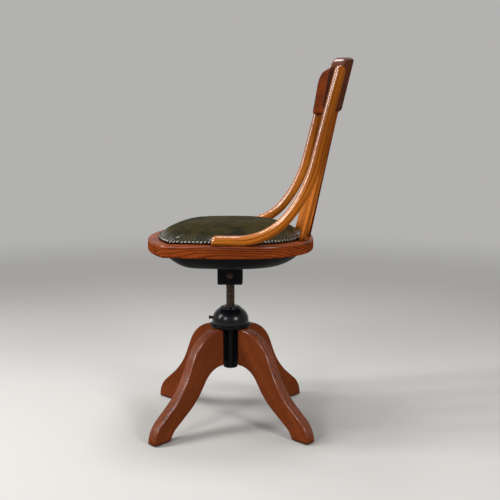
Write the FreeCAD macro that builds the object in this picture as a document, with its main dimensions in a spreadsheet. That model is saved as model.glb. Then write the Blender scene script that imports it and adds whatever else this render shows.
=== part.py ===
import FreeCAD, Part

import math
import os
from types import SimpleNamespace

import Sketcher
from FreeCAD import Placement, Rotation, Vector

# Bankers swivel chair: an oak office chair on a black iron screw pedestal.
#
# Four oak legs are screwed to the lugs of an iron hub. A nut turns on a washer
# inside the hub's dome, so the seat swivels. The spindle screws up and down in
# that nut, so turning the seat while the thumb screw holds the nut sets the
# height. The spindle's head is pinned in a bracket under the seat pan. The oak
# seat frame carries the webbing, the leather pad, two bentwood stays, three
# slats and the curved crest rail.
#
# Millimetres. The origin is on the floor, on the swivel axis. The front of the
# seat faces -X, the sitter's left is -Y, and +Z is up.

SIZES = {
    # Legs: the profile is drawn in the plane of the leg, s outward from the axis.
    "leg_thick": 28,
    "leg_inner": 40,
    "leg_top": 243,
    "leg_shoulder": 6,
    "leg_knee_radius": 100,
    "leg_knee_turn": 66,
    "leg_shin": 31,
    "leg_instep_radius": 205,
    "leg_instep_turn": 27,
    "leg_foot": 41,
    "leg_toe_radius": 66,
    "leg_crotch": 149,
    "leg_arch_flat": 5,
    "leg_arch_radius": 65,
    "leg_arch_turn": 55,
    "leg_calf": 26,
    "leg_ankle_radius": 170,
    "leg_ankle_turn": 19,
    "leg_sole_run": 54,
    "leg_heel_radius": 50,
    "leg_arris": 4,
    "base_turn": 3,
    "glide_radius": 10,
    "glide_thick": 3,
    "glide_edge": 1,
    "glide_reach": 239,
    # Hub: tube, flange, bearing ring and the four T-shaped lugs.
    "tube_radius": 18.5,
    "tube_bore": 15,
    "tube_bottom": 140,
    "flange_radius": 51,
    "flange_bottom": 243,
    "flange_top": 250,
    "flange_rim": 2.5,
    "collar_radius": 22.5,
    "collar_bottom": 237,
    "ring_bore": 33,
    "ring_outer": 36.5,
    "ring_top": 271,
    "lug_bottom": 152,
    "lug_web": 8,
    "lug_plate": 4,
    "cap_bottom": 136,
    "cap_plug": 4,
    "cap_round": 3,
    "lug_screw_radius": 2.2,
    "lug_screw_length": 26,
    "lug_screw_head": 3.9,
    "lug_screw_side": 9,
    "lug_screw_low": 170,
    "lug_screw_high": 226,
    # Dome and the thumb screw in its side.
    "dome_radius": 46,
    "dome_wall": 4.6,
    "dome_spring": 256,
    "dome_curve": 36.8,
    "dome_boss_radius": 26,
    "dome_boss_foot": 289.5,
    "dome_top": 292,
    "dome_hole": 21.4,
    "dome_edge": 1,
    "thumb_height": 264,
    "thumb_radius": 3,
    "thumb_tip": 33.3,
    "thumb_collar": 47.5,
    "thumb_end": 55,
    "thumb_wing": 9,
    "thumb_flat": 2.4,
    "thumb_ear": 1.7,
    "thumb_dip": 8,
    "thumb_chamfer": 0.6,
    # Nut, washers and spindle.
    "washer_bore": 16,
    "washer_radius": 32,
    "washer_thick": 2,
    "nut_play": 0.07,
    "nut_bottom": 246,
    "nut_lift": 0.1,
    "nut_drum_top": 268,
    "nut_cone_top": 279,
    "nut_neck": 21,
    "nut_top": 294.5,
    "nut_round": 2,
    "spindle_radius": 11,
    "spindle_play": 0.05,
    "spindle_bottom": 192,
    "spindle_tail": 7,
    "spindle_shoulder": 204.5,
    "spindle_flare": 349,
    "spindle_head_foot": 356,
    "spindle_flare_radius": 12,
    "spindle_head": 14.5,
    "spindle_top": 392,
    "stop_radius": 14,
    "stop_gap": 0.2,
    "stop_thick": 3.6,
    "stop_pin_radius": 1.4,
    "stop_pin_half": 9.5,
    # Bracket under the pan.
    "bracket_half_x": 31,
    "bracket_half_y": 30,
    "bracket_bottom": 353,
    "bracket_roof": 393,
    "bracket_corner": 4,
    "bracket_bore_play": 0.1,
    "bracket_pin_height": 377,
    "bracket_pin_radius": 5.5,
    "bracket_pin_head": 8.5,
    "bracket_pin_dome": 3.5,
    "bolt_radius": 4,
    "bolt_place": 22,
    "bolt_bottom": 374,
    "bolt_head_radius": 6.8,
    "bolt_head_height": 5.3,
    # Seat frame: round at the back, tapering sides, bowed front.
    "seat_back_radius": 206,
    "seat_side_slope": 7,
    "seat_corner": 14,
    "seat_front": 202,
    "seat_bow_radius": 364,
    "frame_bottom": 444,
    "frame_top": 479,
    "frame_width": 50,
    "frame_edge": 6,
    "frame_inner_corner": 24,
    "pad_inset": 27,
    "rebate_depth": 4,
    "rebate_corner": 10,
    # Pan under the frame.
    "pan_shift": 9,
    "pan_bottom": 407,
    "pan_wall": 2.5,
    "pan_mid": 425,
    "pan_rim": 444,
    "pan_bottom_inset": 74,
    "pan_mid_inset": 44,
    "pan_top_inset": 37,
    "pan_flange_inset": 27,
    "pan_corner": 30,
    "pan_screw_radius": 2,
    "pan_screw_length": 16,
    "pan_screw_head": 3.6,
    "pan_screw_fore": 118,
    "pan_screw_side": 161,
    # Webbing and leather pad.
    "web_thick": 2.4,
    "web_pitch": 62,
    "web_gap": 12,
    "web_reach": 140,
    "web_corner": 8,
    "pad_top": 518,
    "pad_play": 0.6,
    # Bentwood stays.
    "stay_front": -34,
    "stay_bottom": 471.5,
    "stay_thick": 24.5,
    "stay_width": 24,
    "stay_place": 191,
    "stay_foot": 54,
    "stay_low_radius": 130,
    "stay_low_turn": 46,
    "stay_high_radius": 360,
    "stay_high_turn": 29,
    "stay_upper": 202,
    "stay_round": 10,
    "stay_end_round": 10.8,
    "stay_screw_radius": 2.4,
    "stay_screw_length": 44,
    "stay_screw_head": 4.4,
    "stay_screw_fore": -16,
    "stay_screw_aft": 14,
    # Slats.
    "slat_width": 36,
    "slat_thick": 11,
    "slat_reed_dip": 1.6,
    "slat_corner": 2,
    "slat_side_place": 95,
    "slat_mid_foot": 194.5,
    "slat_side_foot": 175,
    "slat_side_turn": 15,
    "slat_tenon": 16,
    # Crest rail.
    "crest_half": 179,
    "crest_bottom": 776,
    "crest_arch": 1145,
    "crest_top": 900,
    "crest_curve": 500,
    "crest_back_low": 269,
    "crest_back_high": 298,
    "crest_thick_low": 24,
    "crest_thick_high": 32,
    "crest_corner": 28,
    "crest_edge": 8,
    "dowel_radius": 4,
    "dowel_length": 24,
    "dowel_stand": 12,
    "dowel_low": 806,
    "dowel_high": 846,
}

doc = FreeCAD.newDocument("SwivelChair")
sheet = doc.addObject("Spreadsheet::Sheet", "Sizes")


class Size:
    """A number worked out from cells of the sheet, kept with its formula."""

    def __init__(self, value, text):
        self.value = value
        self.text = text

    def join(self, other, sign, value):
        return Size(value, f"({self.text} {sign} {as_size(other).text})")

    def __add__(self, other):
        return self.join(other, "+", self.value + as_size(other).value)

    def __sub__(self, other):
        return self.join(other, "-", self.value - as_size(other).value)

    def __mul__(self, other):
        return self.join(other, "*", self.value * as_size(other).value)

    def __truediv__(self, other):
        return self.join(other, "/", self.value / as_size(other).value)

    def __neg__(self):
        return Size(-self.value, f"(0 - {self.text})")

    def root(self):
        return Size(math.sqrt(self.value), f"sqrt({self.text})")


def as_size(number):
    """A plain number as a size, and a size as it is."""
    if isinstance(number, Size):
        return number
    return Size(number, f"{number}")


def fill_sheet():
    """Write every driving dimension into the sheet and hand back the sizes by name."""
    found = {}
    for row, (name, number) in enumerate(SIZES.items(), start=1):
        sheet.set(f"A{row}", name)
        sheet.set(f"B{row}", str(number))
        sheet.setAlias(f"B{row}", name)
        found[name] = Size(number, f"Sizes.{name}")
    doc.recompute()
    return SimpleNamespace(**found)


d = fill_sheet()
ZERO = as_size(0)
# The side an outline's arc bulges to, or a chain turns to, seen along its direction.
LEFT = 1
RIGHT = -1
# How far a cutting shape stands clear of what it cuts.
SPARE = 6
# Angles of the pan's screws round the back half, from straight back.
PAN_SCREW_ANGLES = (0, 38, 76, -38, -76)
# The pad's crown: inset from its edge, share of its rise, corner radius.
PAD_CROWN = [
    (0, 0, 10),
    (0.6, 0.15, 12),
    (8, 0.36, 18),
    (26, 0.60, 26),
    (54, 0.82, 40),
    (88, 0.95, 50),
    (126, 1, 40),
]


def bind(thing, name, size):
    """Set a property to a size and tie it to the size's formula."""
    size = as_size(size)
    if "." not in name:
        setattr(thing, name, size.value)
    thing.setExpression(name, size.text)


def new_body(name, turn=None):
    """A body labelled as its node, turned about the swivel axis where the base asks for it."""
    body = doc.addObject("PartDesign::Body", name)
    body.Label = name
    if turn is not None:
        body.Placement = Placement(Vector(), Rotation(Vector(0, 0, 1), turn.value))
        body.setExpression("Placement.Rotation.Angle", turn.text)
    return body


def new_sketch(body, name, role, offset=None, shift=None):
    """A sketch on one of the body's own planes, moved along its normal and along local x."""
    plane = [face for face in body.Origin.OriginFeatures if face.Role == role][0]
    sketch = body.newObject("Sketcher::SketchObject", name)
    sketch.AttachmentSupport = [(plane, "")]
    sketch.MapMode = "FlatFace"
    offset = as_size(offset or 0)
    shift = as_size(shift or 0)
    sketch.AttachmentOffset = Placement(Vector(shift.value, 0, offset.value), Rotation())
    sketch.setExpression("AttachmentOffset.Base.z", offset.text)
    sketch.setExpression("AttachmentOffset.Base.x", shift.text)
    return sketch


def rule(sketch, kind, *items, size=None):
    """Add a constraint, tied to a size's formula where it has one."""
    if size is None:
        sketch.addConstraint(Sketcher.Constraint(kind, *items))
        return
    value = math.radians(size.value) if kind == "Angle" else size.value
    index = sketch.addConstraint(Sketcher.Constraint(kind, *items, value))
    sketch.setExpression(f"Constraints[{index}]", size.text)


def place_point(sketch, shape, end, x, y):
    """Hold one end of a line or arc at a place measured from the sketch's origin."""
    if abs(x.value) < 1e-9:
        rule(sketch, "PointOnObject", shape, end, -2)
    else:
        rule(sketch, "DistanceX", -1, 1, shape, end, size=x)
    if abs(y.value) < 1e-9:
        rule(sketch, "PointOnObject", shape, end, -1)
    else:
        rule(sketch, "DistanceY", -1, 1, shape, end, size=y)


def arc_between(start, end, radius, side):
    """The arc of a radius from start to end that bulges to the left (1) or right (-1)."""
    chord = end - start
    half = chord.Length / 2
    normal = Vector(-chord.y, chord.x, 0).normalize() * side
    middle = (start + end) / 2
    rise = radius - math.sqrt(radius * radius - half * half)
    return Part.Arc(start, middle + normal * rise, end)


def outline(sketch, corners):
    """Close a run of corners. A corner is (x, y), or (x, y, radius, side) for an arc to it."""
    corners = [tuple(as_size(entry) for entry in corner) for corner in corners]
    points = [Vector(corner[0].value, corner[1].value, 0) for corner in corners]
    ends = []
    for index, corner in enumerate(corners):
        start = points[index - 1]
        end = points[index]
        if len(corner) == 2:
            shape = sketch.addGeometry(Part.LineSegment(start, end), False)
            ends.append((shape, 1, 2))
            continue
        side = corner[3].value
        arc = arc_between(start, end, corner[2].value, side)
        shape = sketch.addGeometry(arc, False)
        # An arc runs anticlockwise, so one that bulges to the left is stored backwards.
        ends.append((shape, 2, 1) if side > 0 else (shape, 1, 2))
        rule(sketch, "Radius", shape, size=corner[2])
    for index, corner in enumerate(corners):
        shape, _, last = ends[index]
        following = ends[(index + 1) % len(ends)]
        rule(sketch, "Coincident", shape, last, following[0], following[1])
        place_point(sketch, shape, last, corner[0], corner[1])


class Pen:
    """Draws a chain of tangent lines and arcs, each held by its own length, radius and turn."""

    def __init__(self, sketch, x, y):
        self.sketch = sketch
        self.point = Vector(x.value, y.value, 0)
        self.start = (x, y)
        self.heading = 0.0
        self.first = None
        self.last = None

    def add(self, shape, begin, end):
        if self.last is None:
            self.first = (shape, begin)
            place_point(self.sketch, shape, begin, *self.start)
            rule(self.sketch, "Horizontal", shape)
        else:
            rule(self.sketch, "Tangent", *self.last, shape, begin)
        self.last = (shape, end)

    def line(self, length):
        angle = math.radians(self.heading)
        end = self.point + Vector(math.cos(angle), math.sin(angle), 0) * length.value
        shape = self.sketch.addGeometry(Part.LineSegment(self.point, end), False)
        self.add(shape, 1, 2)
        rule(self.sketch, "Distance", shape, size=length)
        self.point = end

    def bend(self, radius, turn, side):
        """Turn left (side 1) or right (side -1) and return the arc's number."""
        angle = math.radians(self.heading)
        swing = math.radians(turn) * side
        centre = self.point + Vector(-math.sin(angle), math.cos(angle), 0) * radius.value * side
        spoke = self.point - centre
        middle = centre + Rotation(Vector(0, 0, 1), math.degrees(swing / 2)).multVec(spoke)
        end = centre + Rotation(Vector(0, 0, 1), math.degrees(swing)).multVec(spoke)
        arc = Part.Arc(self.point, middle, end) if side > 0 else Part.Arc(end, middle, self.point)
        shape = self.sketch.addGeometry(arc, False)
        self.add(shape, 1 if side > 0 else 2, 2 if side > 0 else 1)
        rule(self.sketch, "Radius", shape, size=radius)
        self.point = end
        self.heading += turn * side
        return shape

    def arc(self, radius, turn, side):
        shape = self.bend(radius, turn.value, side)
        rule(self.sketch, "Angle", shape, size=turn)

    def arc_down_to(self, radius, level):
        """Turn right until the chain has come down to a level."""
        slope = math.cos(math.radians(self.heading)) - (self.point.y - level.value) / radius.value
        turn = math.degrees(math.acos(slope)) + self.heading
        self.bend(radius, turn, RIGHT)
        rule(self.sketch, "DistanceY", -1, 1, *self.last, size=level)


def join_ends(sketch, one, other, start, end):
    """A straight line between two chains."""
    shape = sketch.addGeometry(Part.LineSegment(start, end), False)
    rule(sketch, "Coincident", shape, 1, *one)
    rule(sketch, "Coincident", shape, 2, *other)
    return shape


def feature(body, kind, name, sketch, **sizes):
    """A feature made from a sketch, with its lengths tied to the sheet."""
    made = body.newObject(f"PartDesign::{kind}", name)
    made.Profile = sketch
    for key, size in sizes.items():
        bind(made, key, size)
    body.Tip = made
    return made


def revolve(body, name, corners):
    """Turn a profile of (radius, height) corners about the body's Z axis."""
    sketch = new_sketch(body, f"{name}_profile", "XZ_Plane")
    outline(sketch, corners)
    turned = feature(body, "Revolution", f"{name}_turned", sketch)
    turned.ReferenceAxis = (sketch, ["V_Axis"])
    turned.Angle = 360
    doc.recompute()
    return turned


def centred(made):
    """Let a pad or pocket run equally to both sides of its sketch."""
    made.SideType = "Symmetric"
    doc.recompute()
    return made


def circles(sketch, places, radius):
    """Circles of one radius at places given as pairs of sizes."""
    for x, y in places:
        x = as_size(x)
        y = as_size(y)
        ring = Part.Circle(Vector(x.value, y.value, 0), Vector(0, 0, 1), radius.value)
        shape = sketch.addGeometry(ring, False)
        place_point(sketch, shape, 3, x, y)
        rule(sketch, "Radius", shape, size=radius)


def cut_volume(body, made, least):
    """Stop if a pocket took away less than it should, as one that points outward would."""
    doc.recompute()
    before = made.BaseFeature.Shape.Volume
    taken = before - made.Shape.Volume
    if taken < least:
        raise ValueError(f"{made.Name} took only {taken:.1f} mm3 off {body.Label}")


def round_edges(body, name, radius, wanted):
    """Fillet the edges of the body's last feature that the test picks by their middle point."""
    doc.recompute()
    base = body.Tip
    names = []
    for index, edge in enumerate(base.Shape.Edges, start=1):
        middle = edge.valueAt((edge.FirstParameter + edge.LastParameter) / 2)
        if wanted(edge, middle):
            names.append(f"Edge{index}")
    made = body.newObject("PartDesign::Fillet", name)
    made.Base = (base, names)
    bind(made, "Radius", radius)
    body.Tip = made
    doc.recompute()
    return made


def cut_away(name, base, tools):
    """A node left when other pieces' solids are taken from its blank."""
    if len(tools) > 1:
        tool = doc.addObject("Part::MultiFuse", f"{name}_tools")
        tool.Shapes = tools
    else:
        tool = tools[0]
    made = doc.addObject("Part::Cut", name)
    made.Label = name
    made.Base = base
    made.Tool = tool
    made.Refine = False
    doc.recompute()
    return made


def group(name, members):
    """Like pieces kept together as one node of separate solids."""
    made = doc.addObject("Part::Compound", name)
    made.Label = name
    made.Links = members
    doc.recompute()
    return made


def cylinder(name, radius, height, place):
    made = doc.addObject("Part::Cylinder", name)
    bind(made, "Radius", radius)
    bind(made, "Height", height)
    made.Placement = place
    return made


def wood_screw(name, radius, length, head, place):
    """A countersunk screw: its head's flat top is at the place, and it points along local +Z."""
    cone = doc.addObject("Part::Cone", f"{name}_head")
    bind(cone, "Radius1", head)
    bind(cone, "Radius2", radius)
    bind(cone, "Height", (head - radius) * 1.1)
    cone.Placement = place
    shank = cylinder(f"{name}_shank", radius, length, place)
    made = doc.addObject("Part::Fuse", name)
    made.Base = cone
    made.Tool = shank
    return made


def along(point, direction):
    """A place at a point, with local +Z along a direction."""
    return Placement(point, Rotation(Vector(0, 0, 1), direction))


LEG_NAMES = ("leg_rear_right", "leg_front_right", "leg_front_left", "leg_rear_left")


def leg_turn(index):
    """Angle of a leg about the swivel axis: the four stand on the diagonals."""
    return d.base_turn + (45 + 90 * index)


def leg_direction(index):
    angle = math.radians(leg_turn(index).value)
    return Vector(math.cos(angle), math.sin(angle), 0)


# Hub casting


def make_hub():
    body = new_body("hub_blank", leg_turn(0))
    revolve(body, "hub", [
        (d.tube_bore, d.tube_bottom),
        (d.tube_radius, d.tube_bottom),
        (d.tube_radius, d.collar_bottom),
        (d.collar_radius, d.collar_bottom),
        (d.collar_radius, d.flange_bottom),
        (d.flange_radius, d.flange_bottom),
        (d.flange_radius, d.flange_top),
        (d.ring_outer, d.flange_top),
        (d.ring_outer, d.ring_top),
        (d.ring_bore, d.ring_top),
        (d.ring_bore, d.flange_top),
        (d.tube_bore, d.flange_top),
    ])
    sketch = new_sketch(body, "lug_plan", "XY_Plane", d.lug_bottom)
    root = (d.tube_bore + d.tube_radius) / 2
    seat = d.leg_inner - d.lug_plate
    half_web = d.lug_web / 2
    half_leg = d.leg_thick / 2
    outline(sketch, [
        (root, -half_web),
        (seat, -half_web),
        (seat, -half_leg),
        (d.leg_inner, -half_leg),
        (d.leg_inner, half_leg),
        (seat, half_leg),
        (seat, half_web),
        (root, half_web),
    ])
    lug = feature(body, "Pad", "lug", sketch, Length=d.flange_bottom - d.lug_bottom)
    doc.recompute()
    holes = new_sketch(body, "lug_hole_plan", "YZ_Plane", seat - d.lug_plate / 2)
    circles(holes, lug_screw_places(), d.lug_screw_radius + d.spindle_play)
    drilled = feature(body, "Pocket", "lug_holes", holes, Length=d.lug_plate * 2)
    drilled.Reversed = True
    hole = math.pi * d.lug_screw_radius.value ** 2 * d.lug_plate.value
    cut_volume(body, drilled, hole * (len(lug_screw_places()) - 0.5))
    pattern = body.newObject("PartDesign::PolarPattern", "lugs")
    pattern.Originals = [lug, drilled]
    pattern.Axis = (sketch, ["N_Axis"])
    pattern.Angle = 360
    pattern.Occurrences = 4
    body.Tip = pattern
    doc.recompute()

    def rim(edge, middle):
        reach = math.hypot(middle.x, middle.y)
        return abs(reach - d.flange_radius.value) < 0.01 and edge.Length > 100
    round_edges(body, "flange_rim", d.flange_rim, rim)
    bore = cylinder("thumb_hole", d.thumb_radius + d.spindle_play, d.thumb_end, thumb_axis())
    return cut_away("hub_casting", body, [bore])


def lug_screw_places():
    """Places of a lug's four screws, as distance from the leg's mid plane and height."""
    return [
        (d.lug_screw_side, d.lug_screw_low),
        (-d.lug_screw_side, d.lug_screw_low),
        (d.lug_screw_side, d.lug_screw_high),
        (-d.lug_screw_side, d.lug_screw_high),
    ]


def thumb_axis():
    """The thumb screw's line, from the swivel axis out towards the front."""
    return along(Vector(0, 0, d.thumb_height.value), Vector(-1, 0, 0))


def make_tube_cap():
    body = new_body("tube_cap", d.base_turn)
    revolve(body, "cap", [
        (ZERO, d.cap_bottom),
        (d.tube_radius - d.cap_round, d.cap_bottom),
        (d.tube_radius, d.cap_bottom + d.cap_round, d.cap_round, RIGHT),
        (d.tube_radius, d.tube_bottom),
        (d.tube_bore, d.tube_bottom),
        (d.tube_bore, d.tube_bottom + d.cap_plug),
        (ZERO, d.tube_bottom + d.cap_plug),
    ])
    return body


def make_lug_screws():
    """Sixteen screws, four from each lug's inner face into the leg's inner edge."""
    screws = []
    seat = (d.leg_inner - d.lug_plate).value
    for leg in range(4):
        out = leg_direction(leg)
        side = Vector(-out.y, out.x, 0)
        for number, (across, height) in enumerate(lug_screw_places(), start=1):
            point = out * seat + side * across.value + Vector(0, 0, height.value)
            name = f"lug_screw_{leg + 1}_{number}"
            screws.append(round_screw(name, d.lug_screw_radius, d.lug_screw_length,
                                      d.lug_screw_head, along(point, out)))
    return group("lug_screws", screws)


def round_screw(name, radius, length, head, place):
    """A round-head screw: the head's seat is at the place, and it points along local +Z."""
    flip = Placement(Vector(), Rotation(Vector(1, 0, 0), 180))
    dome = doc.addObject("Part::Sphere", f"{name}_head")
    bind(dome, "Radius", head)
    dome.Angle1 = 0
    dome.Angle2 = 90
    dome.Placement = place.multiply(flip)
    shank = cylinder(f"{name}_shank", radius, length, place)
    made = doc.addObject("Part::Fuse", name)
    made.Base = dome
    made.Tool = shank
    return made


# Legs and glides


def make_leg(index, screws):
    """An oak leg cut from a plank: knee, shin, instep and toe outside, arch and heel inside."""
    node = LEG_NAMES[index]
    body = new_body(f"{node}_blank", leg_turn(index))
    sketch = new_sketch(body, f"{node}_profile", "XZ_Plane")
    outer = Pen(sketch, d.leg_inner, d.leg_top)
    outer.line(d.leg_shoulder)
    outer.arc(d.leg_knee_radius, d.leg_knee_turn, RIGHT)
    outer.line(d.leg_shin)
    outer.arc(d.leg_instep_radius, d.leg_instep_turn, LEFT)
    outer.line(d.leg_foot)
    outer.arc_down_to(d.leg_toe_radius, d.glide_thick)
    inner = Pen(sketch, d.leg_inner, d.leg_crotch)
    inner.line(d.leg_arch_flat)
    inner.arc(d.leg_arch_radius, d.leg_arch_turn, RIGHT)
    inner.line(d.leg_calf)
    inner.arc(d.leg_ankle_radius, d.leg_ankle_turn, LEFT)
    inner.line(d.leg_sole_run)
    inner.arc_down_to(d.leg_heel_radius, d.glide_thick)
    join_ends(sketch, outer.last, inner.last, outer.point, inner.point)
    join_ends(sketch, inner.first, outer.first,
              Vector(d.leg_inner.value, d.leg_crotch.value, 0),
              Vector(d.leg_inner.value, d.leg_top.value, 0))
    centred(feature(body, "Pad", f"{node}_plank", sketch, Length=d.leg_thick))
    half = d.leg_thick.value / 2
    face = d.leg_inner.value
    sole = d.glide_thick.value

    def arris(edge, middle):
        on_side = all(abs(abs(v.Y) - half) < 0.01 for v in edge.Vertexes)
        return on_side and abs(middle.y) > half - 0.01 and middle.x > face + 0.1 and middle.z > sole + 0.1
    round_edges(body, f"{node}_arrises", d.leg_arris, arris)
    return cut_away(node, body, screws)


def make_glides():
    """A turned steel glide under the middle of each foot."""
    glides = []
    for index in range(4):
        body = new_body(f"glide_{index + 1}")
        body.Placement = Placement(leg_direction(index) * d.glide_reach.value, Rotation())
        revolve(body, f"glide_{index + 1}", [
            (ZERO, ZERO),
            (d.glide_radius - d.glide_edge, ZERO),
            (d.glide_radius, d.glide_edge),
            (d.glide_radius, d.glide_thick),
            (ZERO, d.glide_thick),
        ])
        glides.append(body)
    return group("foot_glides", glides)


# Dome, thumb screw, nut, washers and spindle


def make_dome():
    body = new_body("dome_blank")
    inner = d.dome_radius - d.dome_wall
    ceiling = d.dome_boss_foot - d.dome_wall + d.dome_edge
    revolve(body, "dome", [
        (inner, d.flange_top),
        (d.dome_radius, d.flange_top),
        (d.dome_radius, d.dome_spring),
        (d.dome_boss_radius, d.dome_boss_foot, d.dome_curve, RIGHT),
        (d.dome_boss_radius, d.dome_top - d.dome_edge),
        (d.dome_boss_radius - d.dome_edge, d.dome_top, d.dome_edge, RIGHT),
        (d.dome_hole, d.dome_top),
        (d.dome_hole, ceiling),
        (inner, d.dome_spring, d.dome_curve - d.dome_wall, LEFT),
    ])
    bore = cylinder("dome_bore", d.thumb_radius + d.spindle_play, d.thumb_end, thumb_axis())
    return cut_away("dome_cover", body, [bore])


def make_thumb_screw():
    """The thumb screw that holds the nut: shank, collar and a small flat wing."""
    body = new_body("lock_thumb_screw")
    body.Placement = thumb_axis()
    radius = d.thumb_radius
    collar = radius * 1.4
    neck = d.thumb_collar + 2
    knob = d.thumb_end - d.thumb_ear
    revolve(body, "thumb", [
        (ZERO, d.thumb_tip),
        (radius - d.thumb_chamfer, d.thumb_tip),
        (radius, d.thumb_tip + d.thumb_chamfer),
        (radius, d.thumb_collar),
        (collar, d.thumb_collar),
        (collar, neck - d.thumb_chamfer),
        (radius, neck),
        (radius, knob),
        (ZERO, knob),
    ])
    sketch = new_sketch(body, "wing_shape", "XZ_Plane")
    half = d.thumb_wing / 2
    root = radius - d.thumb_chamfer
    shoulder = d.thumb_end - d.thumb_ear * 1.5
    outline(sketch, [
        (-root, neck - d.thumb_chamfer),
        (root, neck - d.thumb_chamfer),
        (half, shoulder),
        (half - d.thumb_ear, d.thumb_end, d.thumb_ear, RIGHT),
        (-(half - d.thumb_ear), d.thumb_end, d.thumb_dip, LEFT),
        (-half, shoulder, d.thumb_ear, RIGHT),
    ])
    centred(feature(body, "Pad", "wing", sketch, Length=d.thumb_flat))
    return body


def make_thrust_washer():
    body = new_body("thrust_washer", d.base_turn)
    revolve(body, "thrust", [
        (d.washer_bore, d.flange_top),
        (d.washer_radius, d.flange_top),
        (d.washer_radius, d.flange_top + d.washer_thick),
        (d.washer_bore, d.flange_top + d.washer_thick),
    ])
    return body


def make_nut():
    """The nut: journal in the tube, drum in the bearing ring, neck up through the dome."""
    body = new_body("spindle_nut")
    bore = d.spindle_radius + d.spindle_play
    journal = d.tube_bore - d.nut_play
    drum = d.ring_bore - d.nut_play
    shoulder = d.flange_top + d.washer_thick + d.nut_lift
    revolve(body, "nut", [
        (bore, d.nut_bottom),
        (journal, d.nut_bottom),
        (journal, shoulder),
        (drum, shoulder),
        (drum, d.nut_drum_top),
        (d.nut_neck, d.nut_cone_top),
        (d.nut_neck, d.nut_top - d.nut_round),
        (d.nut_neck - d.nut_round, d.nut_top, d.nut_round, RIGHT),
        (bore, d.nut_top),
    ])
    return body


def make_stop_washer():
    """The loose washer on the spindle's tail that meets the nut at full height."""
    body = new_body("stop_washer")
    top = d.spindle_shoulder - d.stop_gap
    revolve(body, "stop", [
        (d.spindle_tail + d.spindle_play, top - d.stop_thick),
        (d.stop_radius, top - d.stop_thick),
        (d.stop_radius, top),
        (d.spindle_tail + d.spindle_play, top),
    ])
    return body


def stop_pin_height():
    return d.spindle_shoulder - d.stop_gap * 2 - d.stop_thick - d.stop_pin_radius


def make_stop_pin():
    """The split pin under the stop washer: a shank with a ring at one end."""
    height = stop_pin_height()
    start = Vector(0, -d.stop_pin_half.value, height.value)
    shank = cylinder("stop_pin_shank", d.stop_pin_radius, d.stop_pin_half * 2, along(start, Vector(0, 1, 0)))
    ring = doc.addObject("Part::Torus", "stop_pin_ring")
    bind(ring, "Radius1", d.stop_pin_radius * 1.5)
    bind(ring, "Radius2", d.stop_pin_radius * 0.6)
    middle = start - Vector(0, d.stop_pin_radius.value * 1.2, 0)
    ring.Placement = Placement(middle, Rotation())
    made = doc.addObject("Part::Fuse", "stop_pin")
    made.Label = "stop_pin"
    made.Base = shank
    made.Tool = ring
    doc.recompute()
    return made


def make_spindle(stop_pin, head_pin):
    """The spindle: tail for the stop washer, threaded length, and the head in the bracket."""
    body = new_body("spindle_blank")
    revolve(body, "spindle", [
        (ZERO, d.spindle_bottom),
        (d.spindle_tail, d.spindle_bottom),
        (d.spindle_tail, d.spindle_shoulder),
        (d.spindle_radius, d.spindle_shoulder),
        (d.spindle_radius, d.spindle_flare),
        (d.spindle_head, d.spindle_head_foot, d.spindle_flare_radius, LEFT),
        (d.spindle_head, d.spindle_top),
        (ZERO, d.spindle_top),
    ])
    return cut_away("spindle", body, [stop_pin, head_pin])


# Bracket


def make_bracket_pin():
    """The pin through bracket and spindle head, riveted over at both ends."""
    body = new_body("bracket_pin")
    body.Placement = along(Vector(0, 0, d.bracket_pin_height.value), Vector(0, 1, 0))
    end = d.bracket_half_y + d.bracket_pin_dome
    head = d.bracket_pin_head
    swell = (head * head + d.bracket_pin_dome * d.bracket_pin_dome) / (d.bracket_pin_dome * 2)
    revolve(body, "pin", [
        (ZERO, -end),
        (head, -d.bracket_half_y, swell, RIGHT),
        (d.bracket_pin_radius, -d.bracket_half_y),
        (d.bracket_pin_radius, d.bracket_half_y),
        (head, d.bracket_half_y),
        (ZERO, end, swell, RIGHT),
    ])
    return body


def make_bolts():
    """Four hexagon-head bolts down through the pan into the bracket's corners."""
    bolts = []
    top = d.pan_bottom + d.pan_wall
    for number, (x, y) in enumerate([(1, 1), (-1, 1), (-1, -1), (1, -1)], start=1):
        place = Vector(x * d.bolt_place.value, y * d.bolt_place.value, 0)
        head = doc.addObject("Part::Prism", f"bolt_head_{number}")
        head.Polygon = 6
        bind(head, "Circumradius", d.bolt_head_radius)
        bind(head, "Height", d.bolt_head_height)
        head.Placement = Placement(place + Vector(0, 0, top.value), Rotation())
        shank = cylinder(f"bolt_shank_{number}", d.bolt_radius, top - d.bolt_bottom,
                         Placement(place + Vector(0, 0, d.bolt_bottom.value), Rotation()))
        bolt = doc.addObject("Part::Fuse", f"bolt_{number}")
        bolt.Base = head
        bolt.Tool = shank
        bolts.append(bolt)
    return group("bracket_bolts", bolts)


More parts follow.
